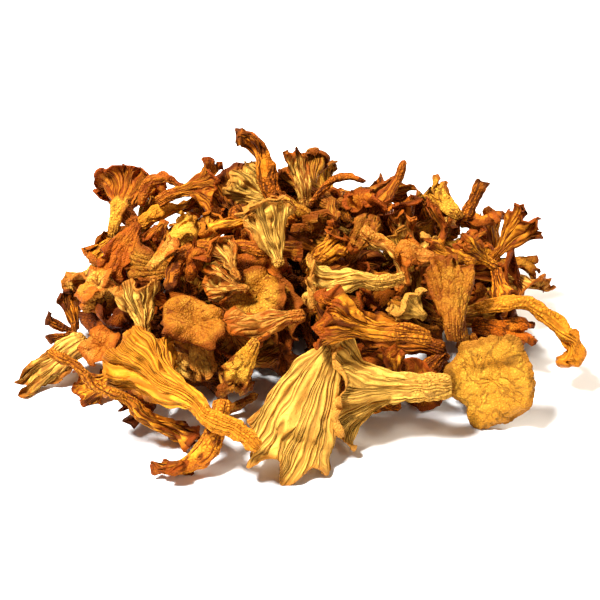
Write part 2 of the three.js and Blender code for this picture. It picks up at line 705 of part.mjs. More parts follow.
// The upper front.
mushroom("funnel_tan", inFront, [-49, 51, 14], fan, [100, 15, 180], {
  long: 23, wide: 12, stem: 3, arc: 90, hue: "tan",
});
mushroom("strip_curled", inFront, [-30, 55, 25], fan, [285, 0, 90], {
  long: 28, wide: 4.5, stem: 2.2, bend: 70, arc: 70, curl: 60, hue: "amber",
});
mushroom("cup_upper", inFront, [28, 62, 8], trumpet, [60, 45, 0], {
  long: 26, stem: 2.8, flare: 62, hue: "golden",
});
clump("tan_plates", inFront, [13, 54, 17], [
  [fan, [60, 15, 180], { long: 26, wide: 9, stem: 2.4, arc: -40, hue: "tan" }],
  [fan, [160, 5, 20], { long: 34, wide: 5, stem: 2.4, arc: 60, hue: "amber" }],
]);
mushroom("tube_golden", inFront, [10, 48, 37], trumpet, [35, 5, 0], {
  long: 23, stem: 4.4, stalk: 0.6, flare: 45, bend: 10, hue: "golden",
});
mushroom("fan_triangle", inFront, [-13, 53, 38], fan, [105, 5, 0], {
  ...ribbed, long: 30, wide: 12, stem: 2.4, stalk: 0.12, arc: 50, hue: "cream",
});
clump("leaf_and_ring", inFront, [49, 54, 21], [
  [fan, [115, 10, 0], { long: 26, wide: 7, stem: 2.4, arc: 60, hue: "cream" }],
  [fan, [20, 0, -90], { long: 34, wide: 4, stem: 2.2, bend: 150, arc: 60, hue: "golden" }],
]);
clump("fans_brown", inFront, [77, 37, 13], [
  [fan, [150, 10, 0], { long: 22, wide: 9, stem: 2.4, arc: 70, hue: "golden" }],
  [trumpet, [265, 15, 0], { long: 20, stem: 2.4, flare: 60, hue: "amber" }],
]);
mushroom("leaf_yellow", inFront, [68, 52, 12], fan, [25, 10, 180], {
  long: 25, wide: 8, stem: 2, round: 0.5, arc: 60, hue: "golden",
});

// Along the top, as seen from the front, from left to right.
clump("flake_and_shell", inFront, [-81, 54, -12], [
  [fan, [80, 10, 170], { long: 20, wide: 6, stem: 1.8, arc: 60, hue: "tan" }],
  [fan, [225, 20, 0], { long: 17, wide: 8, stem: 2, arc: 130, hue: "golden" }],
]);
mushroom("stick_arch", inFront, [-62, 71, -4], fan, [88, 0, 90], {
  long: 32, stem: 2.4, wide: 4.5, stalk: 0.55, bend: 175, arc: 60, hue: "golden",
});
mushroom("horn_upper_left", inFront, [-48, 72, -4], trumpet, [35, 5, 0], {
  long: 32, stem: 3, flare: 75, squash: 0.6, bend: -30, hue: "golden",
});
mushroom("fan_top", inFront, [-22, 76, -1], fan, [150, 5, 0], {
  ...ribbed, long: 27, wide: 14, stem: 3, arc: 70, hue: "cream",
});
mushroom("stem_top", inFront, [-16, 81, 1], fan, [108, 5, -90], {
  long: 44, stem: 4, wide: 9, stalk: 0.55, foot: 0.8, bend: 5, curl: 90, arc: 50, notch: 0, hue: "amber",
});
clump("fan_and_twig_top", inFront, [11, 75, -1], [
  [fan, [105, 5, 0], { long: 28, wide: 7, stem: 2.6, arc: 80, hue: "cream" }],
  [stick, [75, 5, 90], { long: 30, stem: 1.4, wide: 1.5, bend: 110, hue: "amber" }],
]);
mushroom("horn_right", inFront, [37, 72, -2], fan, [245, 0, 40], {
  long: 27, stem: 2.2, wide: 5.5, stalk: 0.5, bend: 20, arc: 90, hue: "golden",
});
clump("flakes_right", inFront, [71, 71, -5], [
  [fan, [135, 10, 180], { long: 22, wide: 8, stem: 2.4, arc: 40, hue: "tan" }],
  [stick, [65, 0, 0], { long: 18, stem: 3, wide: 3.4, bend: 20, hue: "amber" }],
]);
clump("fans_right_end", inFront, [93, 54, -14], [
  [fan, [50, 5, 0], { long: 30, wide: 12, stem: 2.4, arc: 60, hue: "golden" }],
  [fan, [-8, 10, 150], { long: 24, wide: 6, stem: 2, arc: 50, hue: "tan" }],
]);

// ---- finishes -----------------------------------------------------------------------------------

const hues = { cream: 0xdeb25f, golden: 0xc8822a, tan: 0xb87832, amber: 0x8c4a1c };
const finishes = Object.fromEntries(
  Object.entries(hues).map(([hue, color]) => [
    hue,
    new THREE.MeshStandardMaterial({
      name: `dried_${hue}`,
      color,
      roughness: 0.8,
      metalness: 0,
      flatShading: true,
    }),
  ]),
);

// ---- the heap -----------------------------------------------------------------------------------

const biggest = (solids) => solids.reduce((a, b) => (a.volume() > b.volume() ? a : b));

function meshOf(name, solid, hue) {
  const { vertProperties, triVerts } = solid.getMesh();
  const geometry = new THREE.BufferGeometry();
  geometry.setAttribute("position", new THREE.BufferAttribute(Float32Array.from(vertProperties), 3));
  geometry.setIndex(new THREE.BufferAttribute(Uint32Array.from(triVerts), 1));
  geometry.computeVertexNormals();
  const mesh = new THREE.Mesh(geometry, finishes[hue]);
  mesh.name = name;
  return mesh;
}

const heap = new THREE.Group();
for (const piece of pieces) {
  const solid = pieceSolid(piece);
  const points = surfacePoints(solid);
  const shift = lay(piece, points);
  take(points, shift);
  const resting = biggest(solid.translate(shift).trimByPlane([0, 0, 1], 0).decompose());
  heap.add(meshOf(piece.name, resting, piece.hue));
}

// The origin goes under the middle of the heap.
const room = new THREE.Box3().setFromObject(heap);
const centre = room.getCenter(new THREE.Vector3());
heap.position.set(-centre.x, -centre.y, 0);

export default heap;
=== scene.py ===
# %% [markdown]
# # A heap of dried chanterelle mushrooms
#
# The heap is some sixty pieces, each a dried mushroom or a clump of them. The imported model holds a plain,
# coarse solid for each piece. This lesson grows a finer mushroom in the place of each solid, from the same
# few sizes, and gives it the ridges, wrinkles and colours of a dried one.
#
# First comes the fixed frame: the imported solids.

import math

import bpy
import numpy as np
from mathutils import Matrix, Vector


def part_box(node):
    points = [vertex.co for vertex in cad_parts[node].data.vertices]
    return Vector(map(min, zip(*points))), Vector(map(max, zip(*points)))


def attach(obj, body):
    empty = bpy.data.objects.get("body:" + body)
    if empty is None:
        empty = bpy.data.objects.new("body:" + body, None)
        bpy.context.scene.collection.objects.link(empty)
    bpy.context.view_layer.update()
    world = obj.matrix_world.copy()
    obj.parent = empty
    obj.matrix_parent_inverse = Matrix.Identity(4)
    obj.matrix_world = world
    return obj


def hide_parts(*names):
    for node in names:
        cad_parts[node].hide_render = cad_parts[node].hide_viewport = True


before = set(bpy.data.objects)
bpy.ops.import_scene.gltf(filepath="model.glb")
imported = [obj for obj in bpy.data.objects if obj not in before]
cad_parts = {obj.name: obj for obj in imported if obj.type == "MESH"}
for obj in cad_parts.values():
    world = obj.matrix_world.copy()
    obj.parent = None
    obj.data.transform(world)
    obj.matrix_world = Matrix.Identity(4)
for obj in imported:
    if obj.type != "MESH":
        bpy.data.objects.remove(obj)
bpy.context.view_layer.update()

# %% [markdown]
# ## Four forms
#
# A chanterelle has a solid stem that opens into a thin cap, with no sharp border between the two. Dried ones
# come in four forms: the trumpet, with a hollow throat; the cap, a trumpet that opens past flat; the fan, a
# trumpet that has split and dried flat; and the stick, a broken stem. One could sculpt each mushroom by hand.
# A form with some twenty sizes is chosen here: it gives every mushroom and keeps each true to its solid.
#
# Sizes are in millimetres and degrees. long: wall length from foot to rim. stem: stem radius. stalk: share of
# the length that is bare stem. notch and lobes cut the rim in, ruffle and waves make it wavy, bend and curl
# turn it, crumple pulls the surface out of true. sides and rows are those of the coarse solid.
#
# Five sizes belong to the finer skin alone, and a mushroom draws those that aren't given. rim_roll: how far
# the rim rolls over. rolled: how much of the wall does. tone: 0 pale to 1 brown. cell: how wide the puffed
# cells are. lively: how much the rim frays and frills.

# %% The forms
trumpet = dict(
    form="trumpet", long=44, stem=4, stalk=0.34, foot=0.75, wall=1.7, flare=72, ease=1.1, squash=0.55,
    lobes=5, notch=0.16, waves=4, ruffle=1.6, bend=22, curl=0, ridge=0.6, crumple=0.9, sides=10, rows=4,
    hue="golden",
)
cap = {**trumpet, **dict(long=34, stalk=0.22, flare=112, ease=0.6, squash=0.85, notch=0.1, hue="tan")}
fan = dict(
    form="fan", long=42, stem=3.4, stalk=0.25, foot=0.75, wall=1.5, wide=15, spread=1, arc=130, round=0.25,
    lobes=3, notch=0.12, waves=3, ruffle=1.4, bend=25, curl=0, twist=0, ridge=0.5, crumple=0.8, sides=10,
    rows=4, hue="golden",
)
stick = {**fan, **dict(
    long=40, stem=2.6, stalk=0.9, wall=4, wide=2.8, arc=0, round=0, notch=0, ruffle=0, ridge=0, bend=40,
    crumple=0.7, sides=6, hue="amber",
)}
print("forms:", [f["form"] for f in (trumpet, cap, fan, stick)])

# %% [markdown]
# ## Chance that repeats
#
# No two mushrooms are alike, but the heap has to come out the same each time. Every mushroom's waves are
# drawn from a seed that is made from its name.

# %% Draws from a seed
PARK_MILLER = dict(modulus=2147483647, factor=16807, spread=7919, offset=104729)
NAME_SEED = dict(start=7, factor=31, modulus=99991)
WAVES = 6  # how many of a mushroom's waves have a shift of their own


def draws(seed):
    """A repeatable row of draws from 0 to 1. The first number of the row is left out."""
    modulus, factor = PARK_MILLER["modulus"], PARK_MILLER["factor"]
    state = (seed * PARK_MILLER["spread"] + PARK_MILLER["offset"]) % modulus
    state = state * factor % modulus
    while True:
        state = state * factor % modulus
        yield state / modulus


def seed_of(name):
    total = NAME_SEED["start"]
    for letter in name:
        total = (total * NAME_SEED["factor"] + ord(letter)) % NAME_SEED["modulus"]
    return total


def phases_of(seed):
    """The shift of each of a mushroom's waves."""
    row = draws(seed)
    return [next(row) * math.tau for _ in range(WAVES)]


print("seed of cap_right:", seed_of("cap_right"))

# %% [markdown]
# ## The list of pieces
#
# A piece of the heap is one mushroom, or a clump of a few that dried with their feet together. Each is given
# by its form, the way it is turned, and the sizes in which it differs. way is where the rim points, counted
# from the right upwards; tip is how far the rim leans out of the heap; roll turns it about its own stem. The
# places aren't repeated here: a piece stands where its solid is.

# %% Writing down the pieces
IN_FRONT = (0, 30)  # the side of the heap that a piece faces: degrees round from the front, then up
ON_TOP = (0, 90)
pieces = []


def grown(form, turn, **sizes):
    return {**form, **sizes, "turn": turn}


def clump(name, *members, side=IN_FRONT):
    first = seed_of(name) + 1
    pieces.append((name, side, [{**m, "seed": first + k} for k, m in enumerate(members)]))


def mushroom(name, form, turn, **sizes):
    pieces.append((name, IN_FRONT, [{**grown(form, turn, **sizes), "seed": seed_of(name)}]))


# %% The foot of the front
mushroom("flat_left", fan, (205, 0, 0), long=22, wide=11, stem=2.6, arc=40)
mushroom("leaf_left", fan, (216, 0, 0), long=36, wide=8, stem=5, stalk=0.1, round=0.5, arc=40, rim_roll=0,
         hue="cream")
mushroom("arm_right", fan, (18, 0, 90), long=60, stem=3, wide=14, stalk=0.62, bend=115, arc=150, curl=30,
         tone=0.0)
mushroom("tube_long", trumpet, (-36, 0, -90), long=66, stem=2.4, stalk=0.68, flare=40, bend=35)
mushroom("hook_front", fan, (280, 5, 90), long=44, stem=4, wide=9, stalk=0.55, bend=125, arc=70)
mushroom("funnel_left", trumpet, (150, -4, -90), sides=20, long=70, stem=4.2, stalk=0.42, flare=34,
         ease=0.7, squash=0.8, bend=34, curl=25, lively=0.6)
clump("fan_and_funnel_front",
      grown(fan, (246, 5, 0), sides=20, long=59, stem=5, stalk=0.12, wide=21, spread=0.7, arc=70, bend=20,
            ruffle=2.4, rim_roll=0, tone=0.15, lively=0.45, hue="cream"),
      grown(trumpet, (182, -5, 0), sides=20, long=52, stem=5, stalk=0.3, flare=58, ease=0.8, squash=0.6,
            bend=0, curl=40, rim_roll=150, rolled=0.12, tone=0.1, lively=0.6, apart=(43, -18, 1),
            hue="cream"))
mushroom("cap_right", cap, (168, 72, 0), long=23, stem=4.5, flare=120, squash=0.86, notch=0.06, ruffle=1,
         tone=0.2, cell=6.2)
print(len(pieces), "pieces so far")

# %% The middle of the front
clump("caps_left",
      grown(cap, (110, 50, 0), long=11, stem=1.8, hue="cream"),
      grown(cap, (265, 50, 0), long=11, stem=1.8, hue="cream"))
clump("dark_left",
      grown(fan, (100, 0, 10), long=20, wide=6, stem=2.2, arc=80, hue="amber"),
      grown(stick, (160, 0, 0), long=14, stem=1.7, wide=2.2),
      grown(stick, (200, 10, 0), long=13, stem=1.5, wide=1.8))
mushroom("cup_left", fan, (175, 25, 180), long=25, wide=11, stem=3, arc=110, curl=60, hue="tan")
clump("sticks_middle",
      grown(stick, (-2, 5, 0), long=44, stem=3, wide=3.6, bend=12, hue="golden"),
      grown(stick, (215, 10, 90), long=20, stem=3.6, wide=4.4, bend=-60))
mushroom("band_cream", fan, (-22, 0, 90), sides=20, long=36, wide=6, stem=2.6, bend=80, arc=60, hue="cream")
mushroom("cap_tall", fan, (95, 5, 180), long=35, wide=13, stem=4.4, arc=-100, notch=0.08, tone=0.85,
         hue="tan")
mushroom("twist_cream", trumpet, (192, 20, 60), sides=20, long=44, stem=3.6, flare=62, squash=0.45,
         bend=-25, hue="cream")
mushroom("cap_brown", cap, (95, 62, 0), long=17, stem=2.6, tone=0.7, cell=2.4)
clump("crumpled_and_leaf",
      grown(fan, (100, 5, 0), sides=20, long=24, wide=13, stem=3, arc=170, hue="cream"),
      grown(fan, (-40, 10, 160), sides=20, long=26, wide=8, stem=2.6, arc=60, hue="cream"))
clump("caps_orange",
      grown(cap, (60, 55, 0), long=20, stem=3, squash=0.7, tone=0.8),
      grown(fan, (285, 5, 180), long=18, wide=7, stem=2.6, arc=120, hue="cream"))
mushroom("funnel_middle", trumpet, (178, 12, 20), sides=20, long=44, stem=3.4, stalk=0.45, flare=50,
         bend=-12)
mushroom("strip_pale", fan, (192, 0, 20), long=31, wide=12, stem=3, twist=40, arc=70, hue="cream")
mushroom("leaf_orange", fan, (-10, 5, 180), long=28, wide=9.5, stem=2.8, arc=-60, hue="amber")
clump("ridge_and_stub",
      grown(fan, (166, 5, 0), long=40, wide=12, stem=3.4, arc=120, hue="amber"),
      grown(stick, (225, -8, 0), long=18, stem=3.6, wide=4, bend=10))
mushroom("cap_low", fan, (240, 0, 180), long=21, wide=7.5, stem=2.8, arc=-60, hue="tan")
print(len(pieces), "pieces so far")

# %% The upper front
mushroom("funnel_tan", fan, (100, 15, 180), long=23, wide=12, stem=3, arc=90, hue="tan")
mushroom("strip_curled", fan, (285, 0, 90), long=28, wide=4.5, stem=2.2, bend=70, arc=70, curl=60,
         hue="amber")
mushroom("cup_upper", trumpet, (60, 45, 0), long=26, stem=2.8, flare=62)
clump("tan_plates",
      grown(fan, (60, 15, 180), long=26, wide=9, stem=2.4, arc=-40, hue="tan"),
      grown(fan, (160, 5, 20), long=34, wide=5, stem=2.4, arc=60, hue="amber"))
mushroom("tube_golden", trumpet, (35, 5, 0), long=23, stem=4.4, stalk=0.6, flare=45, bend=10)
mushroom("fan_triangle", fan, (105, 5, 0), sides=20, long=30, wide=12, stem=2.4, stalk=0.12, arc=50,
         hue="cream")
clump("leaf_and_ring",
      grown(fan, (115, 10, 0), long=26, wide=7, stem=2.4, arc=60, hue="cream"),
      grown(fan, (20, 0, -90), long=34, wide=4, stem=2.2, bend=150, arc=60))
clump("fans_brown",
      grown(fan, (150, 10, 0), long=22, wide=9, stem=2.4, arc=70),
      grown(trumpet, (265, 15, 0), long=20, stem=2.4, flare=60, hue="amber"))
mushroom("leaf_yellow", fan, (25, 10, 180), long=25, wide=8, stem=2, round=0.5, arc=60)
print(len(pieces), "pieces so far")

# %% Along the top, from left to right
clump("flake_and_shell",
      grown(fan, (80, 10, 170), long=20, wide=6, stem=1.8, arc=60, hue="tan"),
      grown(fan, (225, 20, 0), long=17, wide=8, stem=2, arc=130))
mushroom("stick_arch", fan, (88, 0, 90), long=32, stem=2.4, wide=4.5, stalk=0.55, bend=175, arc=60)
mushroom("horn_upper_left", trumpet, (35, 5, 0), long=32, stem=3, flare=75, squash=0.6, bend=-30)
mushroom("fan_top", fan, (150, 5, 0), sides=20, long=27, wide=14, stem=3, arc=70, hue="cream")
mushroom("stem_top", fan, (108, 5, -90), long=44, stem=4, wide=9, stalk=0.55, foot=0.8, bend=5, curl=90,
         arc=50, notch=0, hue="amber")
clump("fan_and_twig_top",
      grown(fan, (105, 5, 0), long=28, wide=7, stem=2.6, arc=80, hue="cream"),
      grown(stick, (75, 5, 90), long=30, stem=1.4, wide=1.5, bend=110))
mushroom("horn_right", fan, (245, 0, 40), long=27, stem=2.2, wide=5.5, stalk=0.5, bend=20, arc=90)
clump("flakes_right",
      grown(fan, (135, 10, 180), long=22, wide=8, stem=2.4, arc=40, hue="tan"),
      grown(stick, (65, 0, 0), long=18, stem=3, wide=3.4, bend=20))
clump("fans_right_end",
      grown(fan, (50, 5, 0), long=30, wide=12, stem=2.4, arc=60),
      grown(fan, (-8, 10, 150), long=24, wide=6, stem=2, arc=50, hue="tan"))
print(len(pieces), "pieces so far")

# %% [markdown]
# ## Clumps that fill the heap
#
# Inside and behind, nobody can tell one mushroom from the next, so these clumps are drawn by chance from the
# same forms, in the same order of draws as the solids.

# %% The clumps of the middle and the back
variety = dict(size=(0.85, 1.15), bend=(0.4, 1.9))
lying = dict(way=50, tip=(-8, 14), roll=180)
upright = dict(way=(-28, 28), tip=(5, 40), roll=(-60, 60))
fewer = dict(sides=6, rows=3)
REAR_UP = 25
REAR_ROUNDS = (112, 139, 166, 194, 222, 246)
REAR_FORMS = ((trumpet, 10, 0, 0.76), (fan, 170, 0, 0.76), (cap, 270, 180, 0.53))


def between(a, b, share):
    return a + (b - a) * share


def varied(form, row, size):
    k = size * between(*variety["size"], next(row))
    bend = form["bend"] * between(*variety["bend"], next(row))
    return {**form, "long": form["long"] * k, "wide": form.get("wide", 0) * k, "bend": bend}


def flat_clumps(label, seed, count, members, wide, size, hues):
    row = draws(seed)
    for i in range(count):
        grown_ones = []
        for k in range(members):
            way = k * 360 / members + lying["way"] * next(row)
            turn = (way, between(*lying["tip"], next(row)), lying["roll"] * next(row))
            form = varied({**(fan, trumpet, fan)[k % 3], "wide": wide}, row, size)
            grown_ones.append(grown(form, turn, **fewer, hue=hues[i % len(hues)]))
        clump(f"{label}_clump_{i + 1}", *grown_ones, side=ON_TOP)


def rear_clumps(seed, hues):
    row = draws(seed)
    for i, round_from_front in enumerate(REAR_ROUNDS):
        grown_ones = []
        for k, (form, way, roll, size) in enumerate(REAR_FORMS):
            way = way + between(*upright["way"], next(row))
            tip = between(*upright["tip"], next(row))
            roll = roll + between(*upright["roll"], next(row))
            form = varied(form, row, size)
            grown_ones.append(grown(form, (way, tip, roll), **fewer, hue=hues[(i + k) % len(hues)]))
        clump(f"rear_clump_{i + 1}", *grown_ones, side=(round_from_front, REAR_UP))


flat_clumps("heart", 11, count=4, members=4, wide=19, size=0.92, hues=("amber",))
flat_clumps("inner", 13, count=4, members=3, wide=13, size=0.68, hues=("amber", "tan"))
rear_clumps(31, hues=("golden", "cream", "tan", "amber"))
flat_clumps("ridge", 17, count=4, members=3, wide=15, size=0.85, hues=("golden", "amber", "tan"))
print(len(pieces), "pieces,", sum(len(members) for _, _, members in pieces), "mushrooms")

# %% [markdown]
# ## The surface of one mushroom
#
# A wall grows from the foot to the rim. Its lean from the stem's axis says how the mushroom opens: upright
# along the stem, flaring over the cap, and curling at the rim. Adding up small steps along the lean gives how
# far out and how far along each point lies. u goes round the stem and v from 0 at the foot to 1 at the rim.
# These are the solids' own formulas, worked out for many points at once.

# %% Sizes of the surface
WALK_STEPS = 40
foot_end = dict(share=0.05, width=0.8)
curl_from = dict(trumpet=0.7, fan=0.65)
HOLLOW_START = 0.14  # where a trumpet's throat begins, as a share of the cap
RIDGES_FULL = 0.3
THROAT_ROUND = 0.22
RIM_THINS = 0.3
flattest = dict(stem=0.9, throat=0.7)
BEND_BEYOND = 0.15
rim_cuts = dict(mean=0.5, lobes=0.3, slow=0.2, slow_count=3)
fan_form = dict(bend=1.2, thins=2.4, squares=0.55, squares_soon=2.5, arc=0.8, corner=3, lobes=3, waves=2.2)
RIDGED_FROM = 0.01
dry_waves = dict(x=19, y=23, z=21, upright=0.7)
BARE_FROM = 0.8  # a stalk that is longer than this share of the mushroom has no cap
STICK_ROWS = 6


def within(x):
    return np.clip(x, 0.0, 1.0)


def radians(degrees):
    return degrees * math.pi / 180


def cap_share(m, v):
    return within((v - m["stalk"]) / (1 - m["stalk"]))


def stem_radius(m, v):
    taper = between(m["foot"], 1, within(v / m["stalk"]))
    return m["stem"] * taper * between(foot_end["width"], 1, within(v / foot_end["share"]))


def rim_curl(share, start):
    return within((share - start) / (1 - start)) ** 2


def lean_of(m, v):
    if m["form"] == "fan":
        return radians(m["bend"] * v ** fan_form["bend"] + m["curl"] * rim_curl(v, curl_from["fan"]))
    g = cap_share(m, v)
    return radians(m["flare"] * g ** m["ease"] + m["curl"] * rim_curl(g, curl_from["trumpet"]))


def walk(m):
    """How far out and how far along the wall is after each step."""
    middles = (np.arange(WALK_STEPS) + 0.5) / WALK_STEPS
    lean = lean_of(m, middles)
    step = m["long"] / WALK_STEPS
    return [np.concatenate(([0], np.cumsum(step * way))) for way in (np.sin(lean), np.cos(lean))]


def look_up(steps, v):
    return np.interp(within(v) * WALK_STEPS, np.arange(WALK_STEPS + 1), steps)


def ridge_shift(m, u, g):
    return m["ridge"] * within(g / RIDGES_FULL) * np.cos(m["sides"] / 2 * u)


# %% A point of a trumpet
def bend_stem(m, along, x, y, z):
    """Bends the stem towards +X, and carries the cap with it."""
    turn = radians(m["bend"])
    if turn == 0:
        return np.stack([x, y, z], axis=-1)
    bend_long = look_up(along, m["stalk"] + BEND_BEYOND)
    radius = bend_long / turn
    angle = turn * within(z / bend_long)
    past = np.maximum(0, z - bend_long) + np.minimum(0, z)
    bent_x = radius * (1 - np.cos(angle)) + x * np.cos(angle) + past * np.sin(angle)
    bent_z = radius * np.sin(angle) - x * np.sin(angle) + past * np.cos(angle)
    return np.stack([bent_x, y + 0 * z, bent_z], axis=-1)


def trumpet_point(m, run, phase, u, v, inner, fray=0.0, frill=0.0):
    """inner is 1 in the throat and 0 outside. fray cuts the rim in and frill waves it, both finely."""
    out, along = run
    g = cap_share(m, v)
    lobes = rim_cuts["lobes"] * np.sin(m["lobes"] * u + phase[0])
    slow = rim_cuts["slow"] * np.sin(rim_cuts["slow_count"] * u + phase[5])
    cut_in = m["notch"] * g * (rim_cuts["mean"] + lobes + slow) + fray
    w = np.where(v <= m["stalk"], v, m["stalk"] + (v - m["stalk"]) * (1 - cut_in))
    lean = lean_of(m, w)
    spread = look_up(out, w)
    stem = stem_radius(m, v)
    flat = between(flattest["stem"], max(flattest["throat"], m["squash"]), g)
    shift = m["ruffle"] * g * g * np.sin(m["waves"] * u + phase[1]) + frill
    shift = shift + np.where(inner > 0, -m["wall"] * (1 - RIM_THINS * g) * inner, ridge_shift(m, u, g))
    wide = stem + spread + shift * np.cos(lean)
    narrow = stem * flat + spread * m["squash"] + shift * np.cos(lean)
    z = look_up(along, w) - shift * np.sin(lean)
    k = within((g - HOLLOW_START) / THROAT_ROUND)
    closing = np.where(inner > 0, np.sqrt(k * (2 - k)), 1)
    return bend_stem(m, along, wide * closing * np.cos(u), narrow * closing * np.sin(u), z)


# %% A point of a fan
def fan_point(m, run, phase, u, v, thin=1.0, fray=0.0, frill=0.0):
    """u goes round a fan's section: the ridged side is from 0 to half a turn, the smooth side the rest."""
    out, along = run
    across = np.cos(u)
    side = np.sin(u)
    g = cap_share(m, v)
    corner = m["round"] * np.abs(across) ** fan_form["corner"]
    lobes = (1 + np.sin(m["lobes"] * across * fan_form["lobes"] + phase[0])) / 2
    w = v * (1 - g * (corner + m["notch"] * lobes) - fray)
    gw = cap_share(m, w)
    half_wide = between(stem_radius(m, w), m["wide"], gw ** m["spread"])
    thick = between(2 * stem_radius(m, w), m["wall"], 1 - (1 - gw) ** fan_form["thins"])
    blade = 1 - fan_form["squares"] * within(gw * fan_form["squares_soon"])
    depth = thick / 2 * np.sign(side) * np.abs(side) ** blade * thin
    depth = depth + m["ruffle"] * g * g * np.sin(m["waves"] * across * fan_form["waves"] + phase[1]) + frill
    depth = depth + np.where(side > RIDGED_FROM, ridge_shift(m, u, g), 0)
    half_arc = radians(m["arc"] / 2) * gw ** fan_form["arc"]
    arched = np.abs(half_arc) > 0
    radius = half_wide / np.where(arched, half_arc, 1)
    x = np.where(arched, (radius + depth) * np.sin(across * half_arc), half_wide * across)
    y = np.where(arched, (radius + depth) * np.cos(across * half_arc) - radius, depth)
    twist = radians(m["twist"]) * w
    turned_x = x * np.cos(twist) - y * np.sin(twist)
    turned_y = x * np.sin(twist) + y * np.cos(twist)
    lean = lean_of(m, w)
    far = look_up(out, w) + turned_y * np.cos(lean)
    return np.stack([turned_x, far, look_up(along, w) - turned_y * np.sin(lean)], axis=-1)


def crumpled(m, phase, p):
    """Drying pulls the surface out of true: three slow waves, one along each axis."""
    x, y, z = p[..., 0], p[..., 1], p[..., 2]
    x = x + m["crumple"] * np.sin(math.tau * y / dry_waves["x"] + phase[2])
    y = y + m["crumple"] * np.sin(math.tau * z / dry_waves["y"] + phase[3])
    z = z + dry_waves["upright"] * m["crumple"] * np.sin(math.tau * x / dry_waves["z"] + phase[4])
    return np.stack([x, y, z], axis=-1)


# %% How a mushroom is turned on its side of the heap
Y_AXIS, Z_AXIS = 1, 2
stem_along_x = np.array([[0, 0, 1], [1, 0, 0], [0, 1, 0]])


def about(axis, angle):
    """The matrix of a turn about one axis."""
    first, second = (axis + 1) % 3, (axis + 2) % 3
    matrix = np.eye(3)
    matrix[first, first] = matrix[second, second] = math.cos(angle)
    matrix[second, first] = math.sin(angle)
    matrix[first, second] = -math.sin(angle)
    return matrix


def side_frame(side):
    a, e = radians(side[0]), radians(side[1])
    across = np.array([math.cos(a), math.sin(a), 0])
    out = np.array([math.sin(a) * math.cos(e), -math.cos(a) * math.cos(e), math.sin(e)])
    return across, np.cross(out, across), out


def turned(m, side, points):
    across, up, out = side_frame(side)
    way, tip, roll = (radians(d) for d in m["turn"])
    frame_matrix = np.column_stack([across, up, out])
    matrix = frame_matrix @ about(Z_AXIS, way) @ about(Y_AXIS, -tip) @ stem_along_x @ about(Z_AXIS, roll)
    right, high, far = m.get("apart", (0, 0, 0))
    return points @ matrix.T + across * right + up * high + out * far


# %% [markdown]
# ## Where each piece stands
#
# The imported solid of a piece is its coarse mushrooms, turned and then moved to their place in the heap. The
# same coarse points are worked out here, and set against the solid's box: the difference is the move.

# %% The coarse points of a mushroom
MM = 0.001
WORTH_A_LOOK = 0.05  # millimetres by which a place may miss


def rows_of(m):
    if m["stalk"] > BARE_FROM:
        return [k / STICK_ROWS for k in range(STICK_ROWS + 1)]
    cap_rows = [m["stalk"] + (1 - m["stalk"]) * k / m["rows"] for k in range(1, m["rows"] + 1)]
    return [0, m["stalk"] / 2, m["stalk"]] + cap_rows


def coarse_points(m):
    phase, run = phases_of(m["seed"]), walk(m)
    u, v = np.meshgrid(math.tau * np.arange(m["sides"]) / m["sides"], rows_of(m))
    if m["form"] == "fan":
        return crumpled(m, phase, fan_point(m, run, phase, u, v).reshape(-1, 3))
    outer = trumpet_point(m, run, phase, u, v, np.zeros_like(u)).reshape(-1, 3)
    hollow = cap_share(m, v) > HOLLOW_START + THROAT_ROUND / 2
    inner = trumpet_point(m, run, phase, u[hollow], v[hollow], np.ones_like(u[hollow]))
    return crumpled(m, phase, np.concatenate([outer, inner]))


def place_of(name, side, members):
    """The move from the coarse points to the solid's place, and how far their lowest corners disagree."""
    points = np.concatenate([turned(m, side, coarse_points(m)) for m in members])
    low, high = (np.array(corner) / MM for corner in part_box(name))
    move = high - points.max(axis=0)
    return move, np.abs(points.min(axis=0) + move - low)


places = {}
for name, side, members in pieces:
    places[name], miss = place_of(name, side, members)
    if miss[:2].max() > WORTH_A_LOOK:
        print("check", name, "x, y and z miss by", np.round(miss, 2), "mm")
print("places found:", len(places), "of", len(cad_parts))

# %% [markdown]
# ## A finer surface
#
# The finer mushroom follows the same wall, with what drying adds: ridges that fork on their way to the rim,
# a smooth side that has shrunk into puffed cells, a stem with grooves, and a rim that is frayed, frilled and
# rolled. A displacement texture would give the cells but not ridges that follow the cap, so the relief is
# worked out along the wall and added along the surface's own normals.

# %% Sizes of the relief, in millimetres
FOLD_GAP = 5.2  # from one fold to the next at the rim, where each has forked in two
relief = dict(folds=0.85, lumps=0.14, lump_size=6.5, cells=0.155, stem=0.34, grooves=0.30)
FURROW_SUNK = 0.15
forks = (0.08, 0.3)  # the share of the cap over which a fold becomes two ridges
uneven_height = dict(mean=0.75, waves=0.3, size=8)
# Cells lie along the stem, and finer ones lie in them.
cell_shape = dict(long=0.65, finer=0.45, share=0.25, sunk=0.25, crease=0.42, bent=0.22, bend_size=1.6)
FINEST_CELL = 3.2
CELL_TABLE = 16  # the cells repeat after this many, which is further than a mushroom is long
stem_ends = (-0.02, 0.16)  # the share of the cap over which the stem's grooves give way
groove_wander = dict(turn=1.5, size=9)
ROUGH_SIZE = 2.6
LUMPS_UNDER = 0.6  # how much of the smooth side's lumps show through the ridges
stem_mix = dict(lumps=0.6, rough=0.4)

